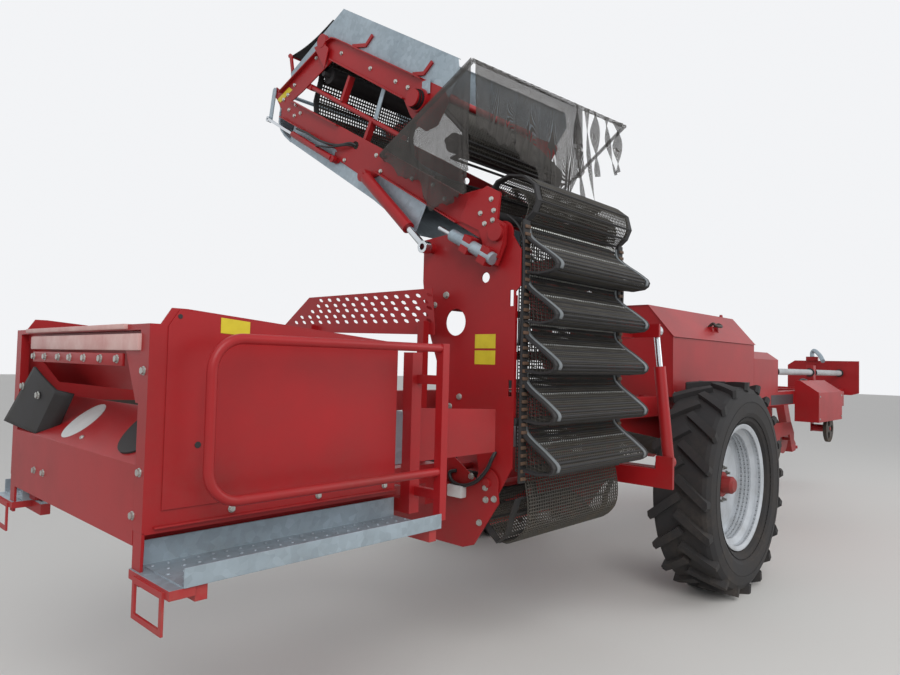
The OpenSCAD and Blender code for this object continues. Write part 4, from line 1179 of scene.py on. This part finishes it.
@dataclass
class MastFittings:
    """Stickers, bolts, hose, sensor box and rubber belt guard of the mast.

    Args:
        face: Outer face of the mast's near plate, behind the axle, in millimetres.
        base: Outer face of the lower plate.
    """

    face: float = -2716.0
    base: float = -2732.0

    def build(self) -> None:
        """Builds every piece of the mast's fittings."""
        film = Shape("mast_stickers", "yellow_film", "mast")
        for low, high in ((1885, 1966), (1793, 1873)):
            film.slab(at(self.face - 1, -1045, low), at(self.face + 0.5, -892, high))
        film.done()
        spots = ((-656, 2206, 0.034), (-704, 1540, 0.03), (-560, 2150, 0.03), (-780, 1600, 0.03))
        bolt_set("mast_bolts", "mast", [(at(x, y, z), Vector((side, 0, 0)), width) for y, z, width in spots
                                        for x, side in ((self.face, -1), (self.face + 1116, 1))])
        low = ((-902, 1153), (-1009, 1103), (-1014, 1037), (-1073, 1049), (-970, 902), (-560, 986),
               (100, 986))
        bolt_set("base_bolts", "frame", [(at(x, y, z), Vector((side, 0, 0)), 0.03) for y, z in low
                                         for x, side in ((self.base, -1), (self.base + 1148, 1))])
        block("sensor_box", "white_plastic", "frame",
              (at(self.base - 48, -868, 1026), at(self.base, -716, 1094)), 0.006)
        hose("base_hose", [at(self.base + 14, -1064, 1306), at(self.base - 12, -1060, 1270),
                           at(self.base - 20, -1030, 1205), at(self.base - 22, -950, 1128),
                           at(self.base - 24, -850, 1096), at(self.base - 22, -772, 1112),
                           at(self.base - 14, -746, 1156), at(self.base - 4, -790, 1172)], 0.022, "frame")
        guard = Shape("belt_guard", "black_rubber", "mast")
        line = [(-1095, 2640), (-1160, 2590), (-1212, 2512), (-1224, 2400), (-1224, 2200), (-1196, 1900)]
        for x in (-544, 544):
            track = Track(smooth_line(cross_line(ELEVATOR + x, line), 5))
            guard.net(1, 26, lambda u, v, t=track: t.read(v) + Vector(((u - 0.5) * 0.020, 0, 0)))
        guard.sheet(0.006)


@dataclass
class SortingFittings:
    """Door panel, rear boards, table sheets, rubber flap, plates and bolts of the sorting box.

    Args:
        right: Outer face of the near panel, from the middle, in millimetres.
        rear: Rear face of the box.
        middle: Line that the corner arms are mirrored about.
        floor: Height of the walkways' floors.
    """

    right: float = -1270.0
    rear: float = BOX_REAR
    middle: float = -530.0
    floor: float = 1112.0

    def build(self) -> None:
        """Builds every piece of the sorting box's fittings."""
        self.door()
        self.boards()
        self.table()
        self.flap()
        self.plates()
        self.dots()

    def door(self) -> None:
        """Lays the raised door sheet, its sticker, plug and bolts on the near panel."""
        red = Shape("box_door", "red_paint", "frame")
        red.panel(side_line(self.right, ((-4676, 1296), (-3664, 1296), (-3664, 1872), (-4618, 1948),
                                         (-4640, 1950), (-4676, 1894))), Vector((0, -0.004, 0)))
        red.slab(at(-4700, self.right - 14, 1240), at(-3664, self.right, 1247), 0.002)
        red.done()
        film = side_line(self.right - 4, ((-4495, 1934), (-4383, 1925), (-4383, 1874), (-4495, 1880)))
        plate("box_sticker", "yellow_film", "frame", film, Vector((0, -0.0012, 0)))
        dark = Shape("box_plug", "hose_rubber", "frame")
        dark.rod(at(-4562, self.right - 3, 1500), at(-4562, self.right - 5.5, 1500), 0.011, 24)
        dark.rod(at(-4639, self.right - 3, 1928), at(-4639, self.right - 5, 1928), 0.008, 16)
        dark.done("black_rubber")
        back = Vector((-1, 0, 0))
        rows = [(at(x, self.right, 1268), Vector((0, -1, 0)), 0.022) for x in (-4427, -4060, -3720)]
        rows += [(at(self.rear - 8, y, 1782), back, 0.024)
                 for y in (-96, -248, -422, -558, -713, -879, -1032)]
        rows += [(at(self.rear, y, z), back, 0.024)
                 for y, z in ((-147, 1290), (-266, 1293), (-1195, 1276), (-1236, 1747), (-1236, 1420))]
        bolt_set("box_bolts", "frame", rows)

    def boards(self) -> None:
        """Sets the faded boards across the rear mouth, the bolted strip and the corner arms."""
        faded = Shape("rear_boards", "faded_paint", "frame")
        faded.slab(at(self.rear - 12, -1208, 1812), at(self.rear + 14, -50, 1868), 0.004)
        faded.slab(at(self.rear - 14, -1090, 1884), at(self.rear + 30, 30, 1902), 0.003)
        faded.done()
        strip = Shape("rear_strip", "red_paint", "frame")
        strip.slab(at(self.rear - 8, -1075, 1758), at(self.rear + 2, -80, 1802), 0.002)
        strip.panel(cross_line(self.rear, ((-1200, 1812), (-1082, 1812), (-1180, 1640), (-1200, 1640))),
                    Vector((0.006, 0, 0)))
        for turn in (1, -1):
            outline = [(-1202, 1240), (-1268, 1240), (-1268, 1190), (-1262, 1062), (-1212, 1062),
                       (-1202, 1110)]
            strip.panel([at(self.rear + 1, self.middle + turn * (y - self.middle), z) for y, z in outline],
                        Vector((0.010, 0, 0)))
        strip.done()

    def table(self) -> None:
        """Covers the sorting table's near side with a zinc sheet behind and a red one before it."""
        for name, finish, back, front in (("table_sheet", "galvanised", -3650, -3480),
                                          ("table_cover", "red_paint", -3480, -2896)):
            outline = side_line(-1201, ((back, 1336), (back, 1585), (front, 1560), (front, 1336)))
            plate(name, finish, "frame", outline, Vector((0, -0.003, 0)))

    def flap(self) -> None:
        """Hangs the thick rubber flap at the rear mouth's left end."""
        shape = Shape("rear_flap", "black_rubber", "frame")
        a, b, c, d = cross_line(self.rear - 6, ((-104, 1735), (-400, 1627), (-190, 1441), (330, 1468)))

        def place(u: float, v: float) -> Vector:
            """Returns the flap's point for two shares, bent at its outer end."""
            spot = a.lerp(b, u).lerp(d.lerp(c, u), v)
            return spot + Vector((0.02 * u * u + 0.05 * max(0.0, u - 0.86) * 7, 0, 0))

        shape.net(14, 12, place)
        piece = shape.sheet(0.010)
        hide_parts("chute_flap")
        bolt_set("flap_bolts", "frame", [(at(self.rear - 11, y, z), Vector((-1, 0, 0)), 0.026)
                                         for y, z in ((38, 1645), (-190, 1615))])

    def plates(self) -> None:
        """Lays the round plate and the rubber disc on the chute's lower sheet."""
        bar("round_plate", "white_plastic", "frame", (slope_at(-4640, -430, 0.3), slope_at(-4640, -430, 1.8)),
            0.100, 48)
        bar("chute_disc", "black_rubber", "frame", (slope_at(-4600, -1040, 0.4), slope_at(-4600, -1040, 8)),
            0.150, 48)
        bolt_set("chute_bolts", "frame", [(slope_at(-4700, y, 0.2), CHUTE_OUT, 0.016) for y in (-150, -600)])

    def dots(self) -> None:
        """Presses the grip dots into the walkways' floors."""
        shape = Shape("walkway_dots", "galvanised", "frame")
        for middle in (-1350, 290):
            for i in range(21):
                for j in range(5):
                    spot = at(-4680 + i * 52 + (j % 2) * 26, middle - 116 + j * 58, self.floor)
                    shape.rod(spot, spot + Vector((0, 0, 0.004)), 0.009, 8, 0.004)
        shape.done()


@dataclass
class CoverFittings:
    """Handle, knob, trim, plate and bolts of the hood and the drive covers.

    Args:
        handle: Feet of the lid's handle, ahead of the axle, in millimetres.
        seam: Height of the hood's lower seam.
    """

    handle: Tuple[float, float] = (700.0, 830.0)
    seam: float = 1560.0

    def build(self) -> None:
        """Builds every piece of the covers' fittings."""
        out = LID_OUT
        down = LID_DOWN * 0.030
        first, last = (at(x, -884, 2172) for x in self.handle)
        line = [first - down + out * 0.004, first + out * 0.056 - down, first + out * 0.066 + down * 0.2,
                last + out * 0.066 + down * 0.2, last + out * 0.056 - down, last - down + out * 0.004]
        tube("hood_handle", smooth_line(line, 6), 0.014, "dark_steel", "lid")
        knob = Shape("hood_knobs", "red_paint", "lid")
        knob.rod(at(1380, -720, 2340), at(1380, -720, 2368), 0.020, 20, 0.014)
        for x in self.handle:
            knob.slab(at(x - 14, -905, 2150) + out * 0.006, at(x + 14, -862, 2196) + out * 0.010, 0.002)
        knob.done()
        seam = Shape("hood_trim", "red_paint", "frame")
        seam.slab(at(-290, -978, self.seam), at(1630, -970, 1572), 0.002)
        seam.slab(at(-296, -976, self.seam), at(-284, -968, 2062), 0.002)
        seam.done()
        block("drive_plate", "dark_film", "frame", (at(2390, -901.5, 1408), at(3190, -899.5, 1522)))
        right = Vector((0, -1, 0))
        rows = [(at(x, -1170, z), right, 0.020) for x in (3300, 4290) for z in (1230, 1500)]
        rows += [(at(x, -970, 1590), right, 0.020) for x in (-250, 670, 1590)]
        bolt_set("cover_bolts", "frame", rows)


@dataclass
class WheelFittings:
    """Nuts, sidewall rings and rim steps of a wheel.

    Args:
        side: -1 for the right wheel, 1 for the left.
        nuts: Number of wheel nuts.
        pitch_r: Radius of the nuts' circle, in metres.
        track: Distance of the wheel's middle plane from the machine's, in millimetres.
        height: Height of the axle.
    """

    side: int
    nuts: int = 10
    pitch_r: float = 0.1375
    track: float = 1265.0
    height: float = 850.0

    def build(self) -> None:
        """Builds the pieces of one wheel."""
        name = "right" if self.side < 0 else "left"
        body = "wheel_" + name
        out = Vector((0, self.side, 0))
        middle = at(0, self.side * self.track, self.height)
        nuts = Shape(f"wheel_nuts_{name}", "zinc_dull", body)
        for i in range(self.nuts):
            turn = math.tau * i / self.nuts
            spot = middle + Vector((math.cos(turn), 0, math.sin(turn))) * self.pitch_r
            nuts.bolt(spot, out, 0.032)
            nuts.rod(spot, spot + out * 0.034, 0.010, 10)
        nuts.done()
        rings = Shape(f"tyre_rings_{name}", "tyre", body)
        rings.ring(middle + out * 0.2335, out, 0.690, 0.0032, 96)
        rings.ring(middle + out * 0.2120, out, 0.566, 0.0040, 96)
        rings.done()
        steps = Shape(f"rim_steps_{name}", "rim_paint", body)
        for offset, radius in ((0.012, 0.4275), (0.045, 0.4275), (0.075, 0.4275), (0.150, 0.4695)):
            steps.ring(middle + out * offset, out, radius, 0.006, 72)
        steps.done()


@dataclass
class DrawbarFittings:
    """Hose, pipe, collars and post at the front of the machine.

    Args:
        shaft: Axis of the drive shaft, across and up, in millimetres.
        collars: Where the shaft guard's collars start, ahead of the axle.
    """

    shaft: Tuple[float, float] = (-850.0, 1790.0)
    collars: Tuple[int, ...] = (2650, 4070, 4190, 5560)

    def build(self) -> None:
        """Builds the front fittings."""
        route = [at(3300, -905, 1640), at(3420, -930, 1700), at(3650, -925, 1690), at(3900, -905, 1650)]
        hose("shaft_hose", route, 0.024, "frame")
        pipe = [at(5588, -480, 2030), at(5588, -480, 2090), at(5560, -520, 2120), at(5440, -620, 2050),
                at(5300, -700, 1960)]
        tube("front_pipe", smooth_line(pipe, 6), 0.030, "galvanised", "frame")
        clips = Shape("shaft_collars", "hose_rubber", "frame")
        for x in self.collars:
            clips.rod(at(x, *self.shaft), at(x + 40, *self.shaft), 0.056, 28, 0.050)
        clips.done("black_rubber")
        block("shaft_post", "red_paint", "frame", (at(4076, -894, 1562), at(4184, -806, 1884)), 0.002)


def main() -> None:
    """Builds the studio, dresses the nodes and adds the pieces."""
    logging.basicConfig(level=logging.INFO, format="%(message)s")
    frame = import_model()
    Studio().build()
    dress_nodes(frame)
    makers = [PocketWeb(), ShadeNet(), BoomFittings(), MastFittings(), SortingFittings(), CoverFittings(),
              WheelFittings(-1), WheelFittings(1), DrawbarFittings()]
    for maker in makers:
        maker.build()


if __name__ == "__main__":
    main()
